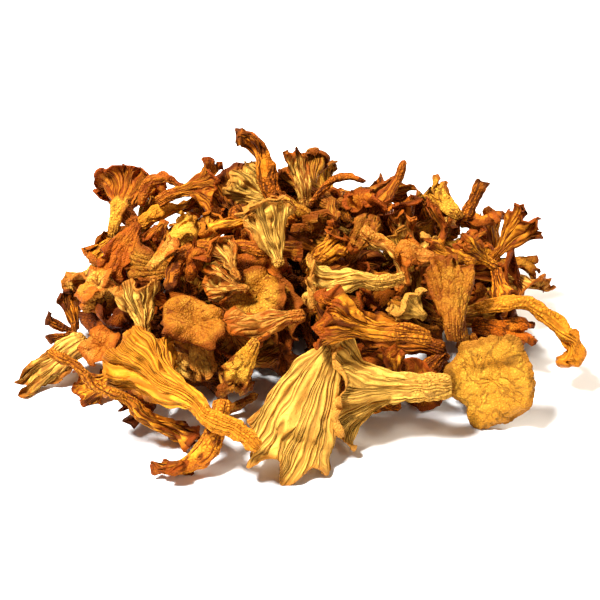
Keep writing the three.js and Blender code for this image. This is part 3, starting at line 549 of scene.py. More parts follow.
# %% Sizes of the rim and of the slow waves
wave_spread = (0.6, 1.5)  # how many waves lie in the size that is asked for
pleating = dict(high=0.75, counts=(5, 9, 14))  # folds of the whole wall that run from the stem to the rim
fraying = dict(deep=0.010, sets_in=0.55, counts=(4, 7, 11, 18))
frilling = dict(high=0.9, counts=(4, 7, 11))
rim_roll = dict(turn=(40, 150), share=(0.08, 0.16), often=0.7)
roll_limits = dict(tightest=1.0, over=1.25)  # the least radius, and how far past its turn a rim may roll
WALL_SHARE = 0.68  # how thick the finer wall is beside the solid's
crinkles = ((15.0, 1.15), (6.5, 0.34))  # size and height of the slow waves that only the finer skin has
crinkled = dict(sideways=0.3, at_foot=0.25)
FAN_RIM_TURN = 1.7  # radians of those waves from a fan's middle to its side
EDGE_FADES = 2.0  # how far in from the edge the browning of the rim reaches
ALMOST_NONE = 1e-9


def smooth_step(low, high, x):
    t = within((x - low) / (high - low))
    return t * t * (3 - 2 * t)


def raised(wave):
    """A wave between -1 and 1 as a share between 0 and 1."""
    return 0.5 + 0.5 * wave


def unit(ways):
    return ways / np.linalg.norm(ways, axis=-1, keepdims=True)


def swell(points, size, seed, count=9):
    """A smooth noise of about unit strength: waves in as many directions as count."""
    chance = np.random.RandomState(seed)
    total = 0
    for _ in range(count):
        way = chance.normal(size=3)
        way = way / np.linalg.norm(way) * math.tau / size * chance.uniform(*wave_spread)
        total = total + np.sin(points @ way + chance.uniform(0, math.tau))
    return total / math.sqrt(count / 2)


def round_waves(angle, counts, seed):
    """A few waves along the rim, of about unit strength."""
    chance = np.random.RandomState(seed)
    waves = [np.sin(n * angle + chance.uniform(0, math.tau)) for n in counts]
    return sum(waves) / math.sqrt(len(counts) / 2)


def normals_of(points):
    """The normals of a grid of points whose columns run round and whose rows run along."""
    round_it = np.roll(points, -1, axis=1) - np.roll(points, 1, axis=1)
    along_it = np.gradient(points, axis=0)
    normal = np.cross(round_it, along_it)
    length = np.linalg.norm(normal, axis=-1, keepdims=True)
    return normal / np.maximum(length, ALMOST_NONE)


def puffed_cells(points, size, seed):
    """Skin that has shrunk into rounded cells: 0 in the creases between them, 1 in their middles."""
    middles = np.random.RandomState(seed).uniform(0, 1, (CELL_TABLE,) * 3 + (3,))
    bends = [swell(points, cell_shape["bend_size"] * size, seed + axis) for axis in range(3)]
    at = points * (1, 1, cell_shape["long"]) / size + cell_shape["bent"] * np.stack(bends, axis=-1)
    corner = np.floor(at).astype(int)
    nearest = second = np.full(at.shape[:-1], np.inf)
    for step in np.ndindex(3, 3, 3):
        cell = corner + np.array(step) - 1
        middle = cell + middles[tuple(np.moveaxis(cell % CELL_TABLE, -1, 0))]
        far = np.linalg.norm(at - middle, axis=-1)
        second = np.minimum(second, np.maximum(nearest, far))
        nearest = np.minimum(nearest, far)
    return 1 - (1 - within((second - nearest) / cell_shape["crease"])) ** 3


def with_crinkles(m, points, g, outward):
    """Pushes the two sides of a wall in and out as one, and a little sideways, least at the foot."""
    for size, high in crinkles:
        ways = [swell(points, size, m["seed"] + 10 * axis + int(size)) for axis in range(3)]
        push = outward * swell(points, size, m["seed"] + 40 + int(size))[..., None]
        push = push + crinkled["sideways"] * np.stack(ways, axis=-1)
        points = points + high * between(crinkled["at_foot"], 1, g[..., None]) * push
    return points


def frayed_rim(m, angle, g):
    """How far the rim is cut in, and how far the wall is pushed out by its frill and its pleats. lively says
    how much of them all a mushroom has."""
    cut = fraying["deep"] * within((g - fraying["sets_in"]) / (1 - fraying["sets_in"])) ** 2
    cut = cut * (1 + round_waves(angle, fraying["counts"], m["seed"]))
    frill = frilling["high"] * g ** 3 * round_waves(angle, frilling["counts"], m["seed"] + 5)
    pleats = pleating["high"] * g * round_waves(angle, pleating["counts"], m["seed"] + 9)
    return m["lively"] * cut, m["lively"] * (frill + pleats)


# %% The rolled rim
SAME_V = 0.001


def rolled_over(m, points, v, up, frames):
    """Rolls the rim towards the ridged side, round a frame taken at the row where the roll starts. up is the
    number of rows below the rim, and frames says which column's frame each column follows, so that the two
    sides of a wall roll as one."""
    turn = radians(m["rim_roll"])
    if turn <= 0:
        return points
    start_row = int(up * (1 - m["rolled"]))
    rolls = v[:, 0] > v[start_row, 0] - SAME_V
    start = points[start_row][frames]
    onward = unit((points[start_row + 1] - points[start_row])[frames])
    outward = normals_of(points)[start_row][frames]
    outward = unit(outward - (outward * onward).sum(axis=-1, keepdims=True) * onward)
    far = ((points - start) * onward).sum(axis=-1)
    high = ((points - start) * outward).sum(axis=-1)
    radius = max(roll_limits["tightest"], m["rolled"] * m["long"] / turn)
    angle = np.clip(far / radius, 0, roll_limits["over"] * turn)[..., None]
    spoke = onward * np.sin(angle) - outward * np.cos(angle)
    bent = start + outward * radius + (radius - high)[..., None] * spoke
    return np.where((far > 0)[..., None] & rolls[:, None, None], bent, points)


# %% The relief along the wall
def wall_relief(m, points, lines, g, ridged, calm):
    """How far each point moves out, and how high it lies between the hollows, 0, and the crests, 1.
    calm keeps the places still where two sides of the wall meet."""
    seed = m["seed"]
    folds = raised(between(np.cos(math.tau * lines), np.cos(2 * math.tau * lines), smooth_step(*forks, g)))
    waves = swell(points, uneven_height["size"], seed + 4)
    uneven = within(uneven_height["mean"] + uneven_height["waves"] * waves)
    lumps = swell(points, relief["lump_size"], seed)
    cells = puffed_cells(points, m["cell"], seed + 1)
    if m["cell"] > FINEST_CELL:
        finer = puffed_cells(points, m["cell"] * cell_shape["finer"], seed + 2)
        cells = cells * (1 - cell_shape["share"] * (1 - finer))
    wander = groove_wander["turn"] * swell(points, groove_wander["size"], seed + 2)
    grooves = np.cos(math.tau * lines + wander)
    rough = swell(points, ROUGH_SIZE, seed + 3)
    on_stem = 1 - smooth_step(*stem_ends, g)
    puffed = relief["cells"] * m["cell"] * (cells - cell_shape["sunk"]) * uneven
    folded = relief["folds"] * folds * uneven - FURROW_SUNK
    under = LUMPS_UNDER * relief["lumps"] * lumps
    side = between(puffed + relief["lumps"] * lumps, folded + under, ridged)
    barked = stem_mix["lumps"] * lumps + stem_mix["rough"] * rough
    stem = relief["grooves"] * grooves + relief["stem"] * barked
    crests = between(between(cells, folds, ridged), raised(grooves), on_stem)
    return between(side, stem, on_stem) * calm, between(1, crests, calm)


# %% [markdown]
# ## From a flat grid to a mushroom
#
# A grid is the right start: its columns become the lines that run from the foot to the rim, and its rows the
# rings round them. A trumpet's rows go up the outside, round the rim and down into the throat. A fan's go up
# both sides at once and meet in a thin rim. The grid's own UV map is kept, but measured again: across it
# counts ridges, and up it runs from -1 at the foot over 0 where the cap begins and 1 at the rim, to 3 at the
# foot of the smooth side, so that a material can tell every part of the skin.

# %% The points of a finer trumpet
RIM_ROWS = (45, 90, 135)  # degrees round the thickness of the rim
RIM_POINTS = 64  # how many points measure the rim
trumpet_grid = dict(columns=(36, 240), up=14, down=8, folds=3)  # the fewest, and the most columns
row_step = dict(up=1.25, down=1.5)  # how long a row is beside the grain


def even(x, least, most):
    return int(2 * round(min(max(x, least), most) / 2))


def along_skin(m, v):
    """-1 at the foot, 0 where the cap begins, 1 at the rim."""
    return np.where(v < m["stalk"], v / m["stalk"] - 1, cap_share(m, v))


def rim_length(m, run, phase):
    test = math.tau * np.arange(RIM_POINTS) / RIM_POINTS
    loop = trumpet_point(m, run, phase, test, np.ones(RIM_POINTS), np.zeros(RIM_POINTS))
    return np.linalg.norm(loop - np.roll(loop, 1, axis=0), axis=1).sum()


def with_rows(values, at, rows):
    return np.concatenate([values[:at], rows, values[at:]])


def rim_rows(below, top, under):
    """The rows that go round the thickness of the rim, from its outer to its inner edge."""
    onward = unit(top - below)
    half = np.linalg.norm(top - under, axis=-1, keepdims=True) / 2
    middle, lift = (top + under) / 2, (top - under) / 2
    angles = [radians(d) for d in RIM_ROWS]
    return np.stack([middle + lift * math.cos(a) + onward * half * math.sin(a) for a in angles])


def prepared(m, grain, fewest):
    """The mushroom with its finer wall, its waves, its lean, and how many rows go up to the rim."""
    m = {**m, "wall": WALL_SHARE * m["wall"]}
    return m, phases_of(m["seed"]), walk(m), max(fewest, int(m["long"] / (row_step["up"] * grain)))


def fine_trumpet(m, grain):
    """A trumpet's points, some grain of millimetres apart, and what is known of each."""
    m, phase, run, up = prepared(m, grain, trumpet_grid["up"])
    rim_long = rim_length(m, run, phase)
    columns = even(rim_long / grain, *trumpet_grid["columns"])
    throat = m["stalk"] + HOLLOW_START * (1 - m["stalk"])
    down = max(trumpet_grid["down"], int(m["long"] * (1 - throat) / (row_step["down"] * grain)))
    v = np.concatenate([np.linspace(0, 1, up + 1), np.linspace(1, throat, down + 1)])
    inner = np.concatenate([np.zeros(up + 1), np.ones(down + 1)])
    u, v = np.meshgrid(math.tau * np.arange(columns) / columns, v)
    inner = inner[:, None] + 0 * u
    g = cap_share(m, v)
    fray, frill = frayed_rim(m, u, g)
    points = crumpled(m, phase, trumpet_point(m, run, phase, u, v, inner, fray, frill))
    outward = normals_of(points[:up + 1])[np.clip((v[:, 0] * up).astype(int), 1, up - 1)]
    foot, end = np.zeros((3, columns)), np.zeros((3, columns))
    end[2] = look_up(run[1], throat)
    points[0] = crumpled(m, phase, bend_stem(m, run[1], *foot))
    points[-1] = crumpled(m, phase, bend_stem(m, run[1], *end))
    points = with_crinkles(m, points, g, outward)

    at = up + 1
    flat = np.ones((len(RIM_ROWS), columns))
    skin = with_rows(np.where(inner > 0, 2 - g, along_skin(m, v)), at, flat)
    to_edge = with_rows((1 - v) * m["long"], at, 0 * flat)
    points = with_rows(points, at, rim_rows(points[up - 1], points[up], points[at]))
    points = rolled_over(m, points, with_rows(v, at, flat), up, np.arange(columns))
    return dict(points=points, skin=skin, g=within(1 - np.abs(1 - skin)), to_edge=to_edge, fan=False,
                folds=max(trumpet_grid["folds"], round(rim_long / FOLD_GAP)),
                turn_share=np.arange(columns + 1) / columns,
                ridged=(skin < 1) * 1.0, calm=np.ones_like(skin))


# %% The points of a finer fan
THIN_ROWS = (0.5, 0.8, 0.95, 1.0)  # the last rows, in which a fan's two sides come together
fan_grid = dict(columns=(14, 130), up=12, folds=2)  # the fewest, and the most columns of a side
FAN_COLUMNS = 1.1  # columns to each grain of the width
ARC_COLUMNS = 500  # degrees of arc that add one more to each grain
thin_end = dict(most=0.08, walls=0.6, stick=0.06)  # the share of the length in which the thin rows lie
TO_THE_SIDES = 0.6  # how far the columns crowd towards a fan's two edges
beside_edge = dict(far=20.0, share=1.6, cap=(0.1, 0.4))  # how a fan's two edges brown
still_edge = dict(side=(0, 0.25), cap=(0, 0.3))  # where the relief fades out beside those edges


def fine_fan(m, grain):
    """A fan's points, some grain of millimetres apart, and what is known of each."""
    m, phase, run, up = prepared(m, grain, fan_grid["up"])
    width = max(2 * m["wide"], 4 * m["stem"])
    columns = 2 * even(width * (FAN_COLUMNS + abs(m["arc"]) / ARC_COLUMNS) / grain, *fan_grid["columns"])
    last = min(thin_end["most"], thin_end["walls"] * m["wall"] / m["long"])
    if m["stalk"] > BARE_FROM:
        last = thin_end["stick"]
    v = np.concatenate([np.linspace(0, 1 - last, up + 1), 1 - last + last * np.array(THIN_ROWS)])
    thin = np.concatenate([np.ones(up + 1), np.sqrt(1 - np.array(THIN_ROWS) ** 2)])
    turn_share = np.arange(columns + 1) / columns
    half = np.where(turn_share <= 0.5, 2 * turn_share, 2 - 2 * turn_share)
    spaced = between(math.pi * half, np.arccos(1 - 2 * half), TO_THE_SIDES)
    u = np.where(turn_share <= 0.5, spaced, math.tau - spaced)[:columns]
    u, v = np.meshgrid(u, v)
    thin = thin[:, None] + 0 * u
    g = cap_share(m, v)
    across = np.cos(u)
    fray, frill = frayed_rim(m, FAN_RIM_TURN * across, g)
    points = crumpled(m, phase, fan_point(m, run, phase, u, v, thin, fray, frill))
    order = np.arange(columns)
    frames = np.where(order <= columns // 2, order, columns - order)
    outward = normals_of(points)[np.clip(np.arange(len(v)), 1, up - 1)]
    outward = outward[:, np.clip(frames, 2, columns // 2 - 2)]
    points[0] = crumpled(m, phase, np.zeros((columns, 3)))
    points = with_crinkles(m, points, g, outward)
    points = rolled_over(m, points, v, up, frames)

    half_wide = between(stem_radius(m, v), m["wide"], g ** m["spread"])
    beside = half_wide * (1 - np.abs(across)) * beside_edge["share"]
    beside = between(beside_edge["far"], beside, smooth_step(*beside_edge["cap"], g))
    still = smooth_step(*still_edge["side"], np.abs(np.sin(u)))
    return dict(points=points, skin=along_skin(m, v), g=g, to_edge=np.minimum((1 - v) * m["long"], beside),
                folds=max(fan_grid["folds"], round(width / FOLD_GAP)), turn_share=turn_share,
                ridged=(np.sin(u) > RIDGED_FROM) * 1.0, fan=True, across=across,
                calm=thin * between(1, still, smooth_step(*still_edge["cap"], g)))


# %% Wrapping the grid
SAME_PLACE = 2e-6  # metres within which two points are one
skin_facts = ("rim", "relief", "tone")  # what the finishes can read at each point, each from 0 to 1
meander = dict(turn=0.3, counts=(2, 5, 9))
meander_waves = ((0.12, 7, 3), (0.04, 15, 7))  # how far, radians along the cap, and waves round it


def deselect():
    bpy.ops.object.select_all(action="DESELECT")


def closed(values):
    """The first column once more after the last one."""
    return np.concatenate([values, values[:, :1]], axis=1)


def lines_of(shape):
    """Counts ridges round the mushroom. They meander a little on their way to the rim."""
    folds, share, g = shape["folds"], shape["turn_share"][None, :], closed(shape["g"])
    if shape["fan"]:
        count = folds * (1 - closed(shape["across"])) / 2 + folds
    else:
        count = folds * share + 0 * g
    turn = math.tau * share
    count = count + meander["turn"] * round_waves(turn, meander["counts"], folds)
    for far, along, round_it in meander_waves:
        count = count + far * np.sin(along * g + round_it * turn)
    return count


def wrapped_grid(m, side, move, grain, skin_material):
    shape = fine_fan(m, grain) if m["form"] == "fan" else fine_trumpet(m, grain)
    points = shape["points"]
    rows, columns = points.shape[:2]
    lines = lines_of(shape)
    height, crests = wall_relief(m, points, lines[:, :columns], shape["g"], shape["ridged"], shape["calm"])
    height[[0, -1]] = 0
    points = turned(m, side, points + normals_of(points) * height[..., None]) + move
    points[..., 2] = np.maximum(points[..., 2], 0)

    deselect()
    bpy.ops.mesh.primitive_grid_add(x_subdivisions=columns, y_subdivisions=rows - 1, size=2)
    piece = bpy.context.object
    mesh = piece.data
    flat = np.empty(len(mesh.vertices) * 3)
    mesh.vertices.foreach_get("co", flat)
    share = (flat.reshape(-1, 3) + 1) / 2
    column = np.rint(share[:, 0] * columns).astype(int)
    row = np.rint(share[:, 1] * (rows - 1)).astype(int)
    mesh.vertices.foreach_set("co", (points[row, column % columns] * MM).ravel())
    rim, tone = np.exp(-shape["to_edge"] / EDGE_FADES), np.full_like(height, m["tone"])
    # relief, the height between hollows and crests, is read by the finishes as painted shade in the hollows
    for label, values in zip(skin_facts, (rim, crests, tone)):
        mesh.attributes.new(label, "FLOAT", "POINT").data.foreach_set("value", values[row, column % columns])

    corners = np.empty(len(mesh.loops), dtype=int)
    mesh.loops.foreach_get("vertex_index", corners)
    row, column = row[corners].reshape(-1, 4), column[corners].reshape(-1, 4)
    place = shape["skin"][row, column % columns]
    if shape["fan"]:
        smooth = column.mean(axis=1) > columns / 2
        place = np.where(smooth[:, None], 2 - place, place)
    uv = np.stack([lines[row, column], place], axis=-1)
    mesh.uv_layers.active.data.foreach_set("uv", uv.ravel())

    bpy.ops.object.mode_set(mode="EDIT")
    bpy.ops.mesh.select_all(action="SELECT")
    bpy.ops.mesh.remove_doubles(threshold=SAME_PLACE)
    bpy.ops.mesh.normals_make_consistent(inside=False)
    bpy.ops.object.mode_set(mode="OBJECT")
    bpy.ops.object.shade_smooth()
    mesh.materials.append(skin_material)
    return piece

# %% [markdown]
# ## The skin of a dried chanterelle
#
# Four colours run through the heap: cream, golden, tan and dark amber. On each the same things show: pale
# ridges with brown furrows between them, the furrows' brown partly their own colour and partly painted shade,
# a smooth side with fine cracks like old leather, a wrinkled stem, and a rim that dried first and went brown.
# Painting each by hand would take weeks. These finishes share node groups instead, which read the UV map that
# the growing left behind.

# %% Short words for nodes
def feed(tree, socket, value):
    if isinstance(value, bpy.types.NodeSocket):
        tree.links.new(value, socket)
    else:
        socket.default_value = value


def add(tree, kind, inputs, output=0, **choices):
    """Adds a node, makes its choices, feeds its sockets and gives one of its outputs."""
    node = tree.nodes.new(kind)
    for key, value in choices.items():
        setattr(node, key, value)
    for key, value in inputs.items():
        feed(tree, node.inputs[key], value)
    return node.outputs[output]


def calc(tree, operation, a, b=0.0, c=0.0, clamp=False):
    return add(tree, "ShaderNodeMath", {0: a, 1: b, 2: c}, operation=operation, use_clamp=clamp)


def times(tree, a, b):
    return calc(tree, "MULTIPLY", a, b)


def step_up(tree, x, low, high):
    """0 below low, 1 above high, and a smooth rise between them. A low above high makes it fall instead."""
    inputs = {"Value": x, "From Min": low, "From Max": high}
    return add(tree, "ShaderNodeMapRange", inputs, interpolation_type="SMOOTHSTEP")


def mixed(tree, share, a, b):
    """Mixes two numbers, which a Mix node takes at its sockets 2 and 3."""
    return add(tree, "ShaderNodeMix", {0: share, 2: a, 3: b})


def tinted(tree, share, a, b):
    """Mixes two colours, which a Mix node takes at its sockets 6 and 7."""
    return add(tree, "ShaderNodeMix", {0: share, 6: a, 7: b}, output=2, data_type="RGBA")


def grains(tree, at, scale, detail=2.0, roughness=0.5):
    inputs = {"Vector": at, "Scale": scale, "Detail": detail, "Roughness": roughness}
    return add(tree, "ShaderNodeTexNoise", inputs)


def new_group(name, inputs, outputs):
    group = bpy.data.node_groups.new(name, "ShaderNodeTree")
    for label, kind in inputs:
        group.interface.new_socket(name=label, in_out="INPUT", socket_type=kind)
    for label in outputs:
        group.interface.new_socket(name=label, in_out="OUTPUT", socket_type="NodeSocketFloat")
    return group, group.nodes.new("NodeGroupInput"), group.nodes.new("NodeGroupOutput")


NUMBER, VECTOR = "NodeSocketFloat", "NodeSocketVector"
print("node words ready")

# %% [markdown]
# ### Ridges that fork
#
# A chanterelle has no gills but blunt ridges, which fork as the cap widens. A cosine of the ridge count gives
# evenly spaced ridges; at a fork it is faded into a cosine of twice the count, so each furrow grows a new
# ridge. Noise makes every ridge fork at its own place.

# %% The ridge group
fork_zones = ((0.04, 0.26), (0.36, 0.66))  # the shares of the cap over which each ridge becomes two
FORK_SCATTER = 0.7
RIDGE_WANDERS = 0.16
ridge_noise = dict(across=0.8, forks=3.0, wander=4.0, breaks=14.0)
BLUNT = 0.6  # the power that widens the crests and narrows the furrows
broken = dict(noise=(0.25, 0.5), lowest=0.55)


def build_ridges():
    tree, given, result = new_group("forking_ridges", [("Lines", NUMBER), ("Place", NUMBER)], ["Height"])
    lines, place = given.outputs["Lines"], given.outputs["Place"]
    at = add(tree, "ShaderNodeCombineXYZ", {"X": times(tree, lines, ridge_noise["across"]), "Y": place})
    scatter = calc(tree, "SUBTRACT", grains(tree, at, ridge_noise["forks"]), 0.5)
    share = calc(tree, "ADD", place, times(tree, scatter, FORK_SCATTER))
    wander = times(tree, grains(tree, at, ridge_noise["wander"]), RIDGE_WANDERS)
    count = calc(tree, "ADD", lines, wander)
    once, twice, again = (calc(tree, "COSINE", times(tree, count, n * math.tau)) for n in (1, 2, 4))
    wave = mixed(tree, step_up(tree, share, *fork_zones[0]), once, twice)
    wave = mixed(tree, step_up(tree, share, *fork_zones[1]), wave, again)
    height = calc(tree, "POWER", calc(tree, "MULTIPLY_ADD", wave, 0.5, 0.5), BLUNT)
    breaks = step_up(tree, grains(tree, at, ridge_noise["breaks"]), *broken["noise"])
    height = times(tree, height, mixed(tree, breaks, broken["lowest"], 1.0))
    tree.links.new(height, result.inputs["Height"])
    return tree


ridges_group = build_ridges()
print("group", ridges_group.name)

# %% [markdown]
# ### Cracks and wrinkles
#
# A shrinking skin breaks up into rounded cells with creases between them. The distance to a Voronoi cell's
# edge draws just that. The place that it reads is pushed about by noise first, so the creases wind.

# %% The wrinkle group
wrinkle_noise = dict(push=0.7, fine=2.4, patches=0.35)  # scales beside that of the cells
PUSHED = 1.3  # how far the cells are pushed about, beside their size
CREASE_WIDE = 0.08
CELL_ROUND = 0.3
patchy = dict(noise=(0.35, 0.6), faintest=0.1)
wrinkles_in_cells = dict(detail=3.0, roughness=0.6)


def build_wrinkles():
    inputs, outputs = [("Vector", VECTOR), ("Scale", NUMBER)], ["Height", "Crack"]
    tree, given, result = new_group("dry_wrinkles", inputs, outputs)
    at, scale = given.outputs["Vector"], given.outputs["Scale"]
    scales = {label: times(tree, scale, share) for label, share in wrinkle_noise.items()}
    push = add(tree, "ShaderNodeTexNoise", {"Vector": at, "Scale": scales["push"]}, "Color")
    push = add(tree, "ShaderNodeVectorMath", {0: push, 1: (0.5, 0.5, 0.5)}, operation="SUBTRACT")
    far = calc(tree, "DIVIDE", PUSHED, scale)
    push = add(tree, "ShaderNodeVectorMath", {0: push, "Scale": far}, operation="SCALE")
    moved = add(tree, "ShaderNodeVectorMath", {0: at, 1: push}, operation="ADD")
    cells = {"Vector": moved, "Scale": scale}
    edge = add(tree, "ShaderNodeTexVoronoi", cells, feature="DISTANCE_TO_EDGE")
    patches = step_up(tree, grains(tree, at, scales["patches"]), *patchy["noise"])
    crack = calc(tree, "SUBTRACT", 1.0, step_up(tree, edge, 0.0, CREASE_WIDE))
    crack = times(tree, crack, mixed(tree, patches, patchy["faintest"], 1.0))
    fine = grains(tree, at, scales["fine"], **wrinkles_in_cells)
    height = calc(tree, "MULTIPLY_ADD", fine, 0.5, step_up(tree, edge, 0.0, CELL_ROUND))
    tree.links.new(height, result.inputs["Height"])
    tree.links.new(crack, result.inputs["Crack"])
    return tree


wrinkles_group = build_wrinkles()
print("group", wrinkles_group.name)

# %% [markdown]
# ### The four finishes
#
# Each finish has six colours of its own and the same build: ridges on one side, cracked skin on the other,
# a wrinkled stem, a brown rim. The relief that the growing wrote on each point darkens the hollows with
# painted shade.

# %% Paint and finishes
# furrow is partly the furrows' own colour and partly painted shade; crack colours the real cracks and also
# the painted shade in the relief's hollows
paints = dict(
    cream=dict(crest=(240, 187, 80), furrow=(142, 66, 10), top=(210, 138, 40), crack=(106, 50, 7),
               stem=(202, 131, 38), rim=(156, 74, 9)),
    golden=dict(crest=(242, 156, 36), furrow=(122, 45, 5), top=(210, 115, 20), crack=(94, 38, 4),
                stem=(204, 120, 24), rim=(130, 54, 5)),
    tan=dict(crest=(232, 172, 54), furrow=(132, 66, 9), top=(206, 138, 34), crack=(102, 50, 7),
             stem=(184, 110, 28), rim=(122, 56, 7)),
    amber=dict(crest=(238, 138, 28), furrow=(96, 33, 3), top=(204, 100, 14), crack=(64, 23, 2),
               stem=(150, 68, 8), rim=(84, 32, 3)),
)
shared_paints = dict(stain=(146, 70, 7), speck=(56, 24, 4))
PER_MM = 1000.0
# How many grains to a millimetre, how detailed and how rough each noise is.
noises = dict(blotch=(0.11, 3.0, 0.6), patch=(0.035,), grain=(1.6, 3.0, 0.7), faint=(0.16,),
              pits=(0.7, 3.0, 0.7), dots=(0.8,))
cells_per_mm = dict(skin=0.8, bark=0.6)
# What each coat follows, from where to where it shows, how much of its paint it brings, and the paint.
top_coats = (
    ("blotch", (0.42, 0.66), 1.0, "crest"),
    ("skin", (0.95, 0.35), 0.35, "furrow"),
    ("skin_crack", None, 0.4, "crack"),
)
stem_coats = (
    ("grain", (0.35, 0.7), 1.0, "crest"),
    ("bark", (0.95, 0.35), 0.5, "furrow"),
    ("bark_crack", None, 0.8, "crack"),
)
coats_over_all = (
    ("patch", (0.45, 0.68), 0.4, "stain"),
    # painted shade: the hollows of the relief are darkened towards the crack paint
    ("relief", (0.6, 0.15), 0.9, "crack"),
    ("pits", (0.52, 0.30), 0.35, "furrow"),
    ("edge", (0.1, 0.5), 0.9, "rim"),
    ("dots", (0.70, 0.76), 0.7, "speck"),
    # tone is each mushroom's own brownness, and painted shade for those deep in the heap
    ("tone", (0.45, 1.0), 0.65, "rim"),
    ("tone", (0.45, 0.0), 0.35, "crest"),
)
furrows_fade = dict(noise=(0.35, 0.6), faintest=0.7)
smooth_side_from = (0.99, 1.01)  # in the UV map's measure along the skin, as the next two
stem_below, stem_beyond = (-0.05, 0.22), (2.16, 2.5)
STEM_SHOWS = 0.9
RIM_BLOTCHED = 0.35
heights = dict(ridges=0.75, wrinkles=0.28, stem=0.5, grain=0.26)  # millimetres of bump
roughness = dict(noise=(0.3, 0.7), finish=(0.45, 0.72))
SHEEN = 0.08


def paint(rgb):
    """Turns a colour as mixed on screen, 0 to 255, into the shader's linear one, by the curve of sRGB."""
    linear = [(c / 255 / 12.92) if c <= 10 else ((c / 255 + 0.055) / 1.055) ** 2.4 for c in rgb]
    return (*linear, 1.0)


def coated(tree, colour, c, masks, coats):
    for mask, shows, most, tint in coats:
        share = step_up(tree, masks[mask], *shows) if shows else masks[mask]
        colour = tinted(tree, times(tree, share, most) if most < 1 else share, colour, c[tint])
    return colour


def masks_of(tree, at):
    """What the coats follow: the facts of each point, the noises, and the cells of skin and stem."""
    masks = {label: add(tree, "ShaderNodeAttribute", {}, "Fac", attribute_name=label) for label in skin_facts}
    for label, (per_mm, *more) in noises.items():
        masks[label] = grains(tree, at, per_mm * PER_MM, *more)
    for label, per_mm in cells_per_mm.items():
        inputs = {"Vector": at, "Scale": per_mm * PER_MM}
        masks[label] = add(tree, "ShaderNodeGroup", inputs, "Height", node_tree=wrinkles_group)
        masks[label + "_crack"] = masks[label].node.outputs["Crack"]
    masks["edge"] = times(tree, masks["rim"], calc(tree, "ADD", masks["blotch"], RIM_BLOTCHED))
    return masks


def dried_skin(name, colours):
    material = bpy.data.materials.new("dried_skin_" + name)
    material.use_nodes = True
    tree = material.node_tree
    shader = tree.nodes["Principled BSDF"]
    c = {part: paint(rgb) for part, rgb in {**shared_paints, **colours}.items()}
    masks = masks_of(tree, add(tree, "ShaderNodeTexCoord", {}, "Object"))
    uv = add(tree, "ShaderNodeUVMap", {}, uv_map="UVMap")
    split = add(tree, "ShaderNodeSeparateXYZ", {0: uv}).node
    lines, place = split.outputs["X"], split.outputs["Y"]
    inputs = {"Lines": lines, "Place": place}
    ridge = add(tree, "ShaderNodeGroup", inputs, "Height", node_tree=ridges_group)

    smooth = step_up(tree, place, *smooth_side_from)
    wander = calc(tree, "MULTIPLY_ADD", masks["blotch"], 0.5, place)
    low_stem = calc(tree, "SUBTRACT", 1.0, step_up(tree, wander, *stem_below))
    stem = calc(tree, "ADD", low_stem, step_up(tree, wander, *stem_beyond), clamp=True)

    # The furrows take the furrow paint: partly the ridges' own colour, partly painted shade in the furrows.
    faint = step_up(tree, masks["faint"], *furrows_fade["noise"])
    shown = mixed(tree, faint, furrows_fade["faintest"], 1.0)
    ridged = tinted(tree, times(tree, calc(tree, "SUBTRACT", 1.0, ridge), shown), c["crest"], c["furrow"])
    colour = tinted(tree, smooth, ridged, coated(tree, c["top"], c, masks, top_coats))
    stalk = coated(tree, c["stem"], c, masks, stem_coats)
    colour = tinted(tree, times(tree, stem, STEM_SHOWS), colour, stalk)
    tree.links.new(coated(tree, colour, c, masks, coats_over_all), shader.inputs["Base Color"])

    (low, high), (least, most) = roughness["noise"], roughness["finish"]
    inputs = {"Value": masks["blotch"], "From Min": low, "From Max": high, "To Min": least, "To Max": most}
    tree.links.new(add(tree, "ShaderNodeMapRange", inputs), shader.inputs["Roughness"])
    shader.inputs["Specular IOR Level"].default_value = SHEEN

    on_ridges = times(tree, ridge, heights["ridges"])
    on_top = times(tree, masks["skin"], heights["wrinkles"])
    on_stem = times(tree, masks["bark"], heights["stem"])
    height = mixed(tree, stem, mixed(tree, smooth, on_ridges, on_top), on_stem)
    height = calc(tree, "ADD", height, times(tree, masks["grain"], heights["grain"]))
    bump = add(tree, "ShaderNodeBump", {"Height": height, "Distance": 1 / PER_MM, "Strength": 1.0})
    tree.links.new(bump, shader.inputs["Normal"])
    return material


skins = {name: dried_skin(name, colours) for name, colours in paints.items()}
print("finishes:", list(skins))

# %% [markdown]
# ## Growing the heap
#
# Each piece is grown as finely as it shows: the big ones in front have points half a millimetre apart, those
# that fill the heart of the heap far wider. A clump's mushrooms are joined into one object. It stands for its
# solid, which stays behind for collision, hidden.

# %% How finely each piece is grown
grain_of = dict(show=0.55, front=0.85, ridge=1.0, rear=1.05, inner=1.4, heart=1.6, between=1.3)
cell_sizes = (2.0, 4.6)  # millimetres across one cell of wrinkled skin
DRY_SEED = 77
CAP_FLARE = 100  # degrees: what flares further is a cap
CALM_CAP = 0.35  # how much of the frill, the pleats and the fraying a cap has
DEEP_SHADE_TONE = 0.9  # painted shade: what lies deep in the heap is made at least this brown
show_pieces = {
    "fan_and_funnel_front", "funnel_left", "cap_right", "twist_cream", "funnel_middle", "band_cream",
    "crumpled_and_leaf", "fan_triangle", "fan_top", "cap_tall", "leaf_left",
}


def grain_for(name):
    if name in show_pieces:
        return grain_of["show"]
    return grain_of.get(name.split("_clump_")[0], grain_of["front"])


def dried(m):
    """Draws what only the finer skin has, unless the list gives it: roll, tone and the cells' size."""
    row = draws(m["seed"] + DRY_SEED)
    turn = between(*rim_roll["turn"], next(row)) * (next(row) < rim_roll["often"])
    share = between(*rim_roll["share"], next(row))
    drawn = dict(rim_roll=turn, rolled=share, tone=next(row), cell=between(*cell_sizes, next(row)), lively=1)
    if m.get("flare", 0) > CAP_FLARE:
        drawn.update(lively=CALM_CAP)
    if m["stalk"] > BARE_FROM:
        drawn.update(rim_roll=0, lively=0)
    return {**drawn, **m}


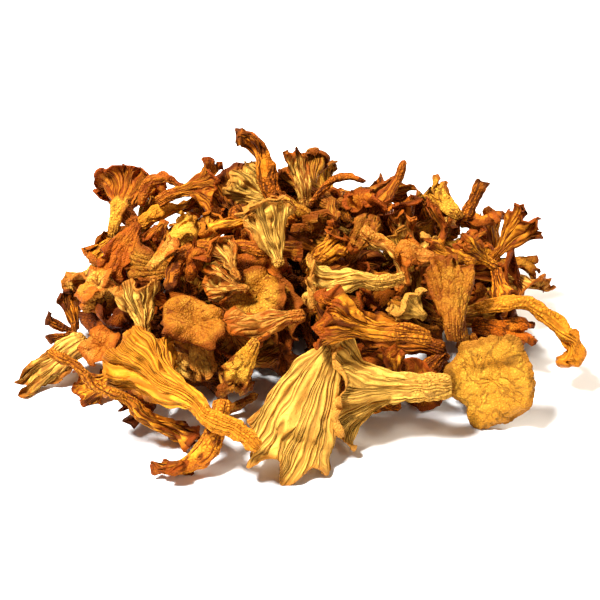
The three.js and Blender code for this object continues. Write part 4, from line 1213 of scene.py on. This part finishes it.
def grow_piece(name, side, members):
    grown_ones = []
    for m in members:
        m = dried(m)
        # painted shade: the clumps deep in the heap are browned
        if name.startswith(("inner", "heart")):
            m["tone"] = max(m["tone"], DEEP_SHADE_TONE)
        grown_ones.append(wrapped_grid(m, side, places[name], grain_for(name), skins[m["hue"]]))
    deselect()
    for one in grown_ones:
        one.select_set(True)
    piece = grown_ones[0]
    bpy.context.view_layer.objects.active = piece
    if len(grown_ones) > 1:
        bpy.ops.object.join()
    piece.name = "mushroom_" + name
    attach(piece, "root")
    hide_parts(name)
    return piece


heap = [grow_piece(*piece) for piece in pieces]
faces = sum(len(piece.data.polygons) for piece in heap)
largest = max(heap, key=lambda piece: len(piece.data.polygons))
print(len(heap), "pieces,", faces, "faces; the largest is", largest.name, len(largest.data.polygons))

# %% [markdown]
# ## What lies between
#
# A real heap is full to the middle: smaller mushrooms and broken bits lie in every gap and carry the ones
# above. Letting them fall with a rigid body simulation would shift the pieces whose places are known. So the
# room is cut into little cubes that are free or taken, and each bit is tried at a few spots, drawn by chance.
# By turns a bit is pushed in at the lowest height at which it fits, or let down from above until it touches.
# It stays only if it lies within the rounded mound that the heap makes.

# %% The room, in cubes that are free or taken
CUBE = 1.6
room = dict(low=np.array((-118.0, -100.0, 0.0)), counts=np.array((148, 126, 56)))
taken = np.zeros(room["counts"], dtype=bool)
mound = dict(across=98, deep=73, high=64, middle=(0, 15), round_it=3.0, round_up=1.8)


def cubes_at(points):
    cubes = ((points - room["low"]) / CUBE).astype(int)
    return tuple(np.clip(cubes, 0, room["counts"] - 1).T)


def clash_share(points):
    return taken[cubes_at(points)].mean()


def share_outside(points):
    """The share of the points that stick out of the heap's rounded mound."""
    x = np.abs(points[:, 0] - mound["middle"][0]) / mound["across"]
    y = np.abs(points[:, 1] - mound["middle"][1]) / mound["deep"]
    z = np.maximum(points[:, 2], 0) / mound["high"]
    return (x ** mound["round_it"] + y ** mound["round_it"] + z ** mound["round_up"] > 1).mean()


for piece in heap:
    spots = np.empty(len(piece.data.vertices) * 3)
    piece.data.vertices.foreach_get("co", spots)
    taken[cubes_at(spots.reshape(-1, 3) / MM)] = True
print("taken:", int(taken.sum()), "of", taken.size, "cubes")

# %% Filling the gaps
BITS = 140
MOST_TRIES = 60
SOFT_CLASH = 0.03  # the share of a bit's points that may press into its neighbours
STICKS_OUT = 0.05
BIT_DRAWS = 4242
FIRST_BIT_SEED = 9000
COARSE_TEST = 2.2  # millimetres between the points with which a bit is tried
CAP_SHORTER = 0.75
bit_sizes = dict(long=(15, 30), stem=(1.4, 2.4), wide=(7, 13))
bit_crumple = dict(bend=(0.3, 3), arc=(0.3, 1.6), twist=(-60, 60), ruffle=(1, 2.2))
bit_hues = ("golden", "tan", "cream", "golden", "cream", "amber", "tan", "golden")
bit_lies = dict(tip=(-10, 40), side_up=(25, 90))
bit_forms = (fan, trumpet, fan, cap, fan, trumpet, fan, stick)


def drawn_bit(number, row):
    form = bit_forms[number % len(bit_forms)]
    sizes = {size: between(*bit_sizes[size], next(row)) for size in ("long", "stem", "wide")}
    if form is cap:
        sizes["long"] *= CAP_SHORTER
    if form is stick:
        sizes["wide"] = sizes["stem"]
    crumple = dict(twist=between(*bit_crumple["twist"], next(row)))
    for size in ("bend", "arc", "ruffle"):
        crumple[size] = form.get(size, 0) * between(*bit_crumple[size], next(row))
    hue = bit_hues[int(len(bit_hues) * next(row))]
    return dried({**form, **sizes, **crumple, "hue": hue, "seed": FIRST_BIT_SEED + number})


def pushed_in(points):
    """How far up a bit goes to find room from below, or None."""
    up = -points[:, 2].min()
    while up < mound["high"]:
        if clash_share(points + (0, 0, up)) < SOFT_CLASH:
            return up
        up += CUBE / 2
    return None


def let_down(points):
    """How far up a bit stays when it is let down from above, or None."""
    up, rests = mound["high"], None
    while up > -points[:, 2].min() and clash_share(points + (0, 0, up)) < SOFT_CLASH:
        rests = up
        up -= CUBE / 2
    return rests


def lay_bit(number, row):
    m = drawn_bit(number, row)
    shape = fine_fan(m, COARSE_TEST) if m["form"] == "fan" else fine_trumpet(m, COARSE_TEST)
    lay = pushed_in if number % 2 else let_down
    # painted shade: bits pushed in from below lie deep in the heap and are browned
    if lay is pushed_in:
        m["tone"] = max(m["tone"], DEEP_SHADE_TONE)
    for _ in range(MOST_TRIES):
        m["turn"] = (360 * next(row), between(*bit_lies["tip"], next(row)), 360 * next(row))
        side = (360 * next(row), between(*bit_lies["side_up"], next(row)))
        across = mound["middle"][0] + mound["across"] * between(-1, 1, next(row))
        deep = mound["middle"][1] + mound["deep"] * between(-1, 1, next(row))
        points = turned(m, side, shape["points"]).reshape(-1, 3) + (across, deep, 0)
        up = lay(points)
        if up is not None and share_outside(points + (0, 0, up)) < STICKS_OUT:
            taken[cubes_at(points + (0, 0, up))] = True
            return m, side, np.array((across, deep, up))
    return None


row = draws(BIT_DRAWS)
laid = [bit for bit in (lay_bit(number, row) for number in range(BITS)) if bit]
for number, (m, side, move) in enumerate(laid):
    piece = wrapped_grid(m, side, move, grain_of["between"], skins[m["hue"]])
    piece.name = f"between_{number + 1:03d}"
    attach(piece, "root")
print(len(laid), "bits laid between the pieces")

# %% [markdown]
# ## Floor, light and camera
#
# The heap lies on a plain pale floor. One big soft lamp stands high on the left, in front, and a weaker one
# on the right and one overhead, as in a small photo studio. The camera looks down at 30 degrees.

# %% The floor
FLOOR_SIZE = 8.0
FLOOR_ROUGH = 0.9
floor_colour = (246, 246, 245)
deselect()
bpy.ops.mesh.primitive_plane_add(size=FLOOR_SIZE, location=(0, 0, 0))
floor = bpy.context.object
floor.name = "floor"
floor_material = bpy.data.materials.new("pale_floor")
floor_material.use_nodes = True
floor_shader = floor_material.node_tree.nodes["Principled BSDF"]
floor_shader.inputs["Base Color"].default_value = paint(floor_colour)
floor_shader.inputs["Roughness"].default_value = FLOOR_ROUGH
floor.data.materials.append(floor_material)
print("floor", FLOOR_SIZE, "m wide")

# %% The lights
HEAP_MIDDLE = Vector((0.0006, -0.0089, 0.030))
WHITE, WARM = (1, 1, 1), (1, 0.9, 0.76)
SKY_STRENGTH = 0.12
lamps = dict(  # place and size in metres, power in watts, and colour
    key_lamp=((-0.45, -0.35, 1.0), 0.2, 36.0, WHITE),
    fill_lamp=((0.7, -0.7, 0.6), 0.7, 2.0, WARM),
    top_lamp=((0.2, 0.6, 1.0), 0.5, 14.0, WARM),
)
for name, (place, size, power, colour) in lamps.items():
    lamp = bpy.data.lights.new(name, "AREA")
    lamp.shape = "SQUARE"
    lamp.size = size
    lamp.energy = power
    lamp.color = colour
    holder = bpy.data.objects.new(name, lamp)
    holder.location = place
    holder.rotation_euler = (HEAP_MIDDLE - Vector(place)).to_track_quat("-Z", "Y").to_euler()
    bpy.context.collection.objects.link(holder)

world = bpy.data.worlds.new("studio")
bpy.context.scene.world = world
world.use_nodes = True
sky = world.node_tree.nodes["Background"]
sky.inputs["Color"].default_value = (*WHITE, 1)
sky.inputs["Strength"].default_value = SKY_STRENGTH
bpy.context.scene.view_settings.view_transform = "Standard"
print("three lamps and a pale sky")

# %% The camera
CAMERA_DOWN = 30
CAMERA_FAR = 0.5
LENS = 73.5
SENSOR = 36.0
camera_data = bpy.data.cameras.new("camera")
camera_data.lens = LENS
camera_data.sensor_width = SENSOR
camera = bpy.data.objects.new("camera", camera_data)
down = radians(CAMERA_DOWN)
camera.location = HEAP_MIDDLE + CAMERA_FAR * Vector((0, -math.cos(down), math.sin(down)))
camera.rotation_euler = (math.pi / 2 - down, 0, 0)
bpy.context.collection.objects.link(camera)
bpy.context.scene.camera = camera
print("camera at", [round(c, 3) for c in camera.location])
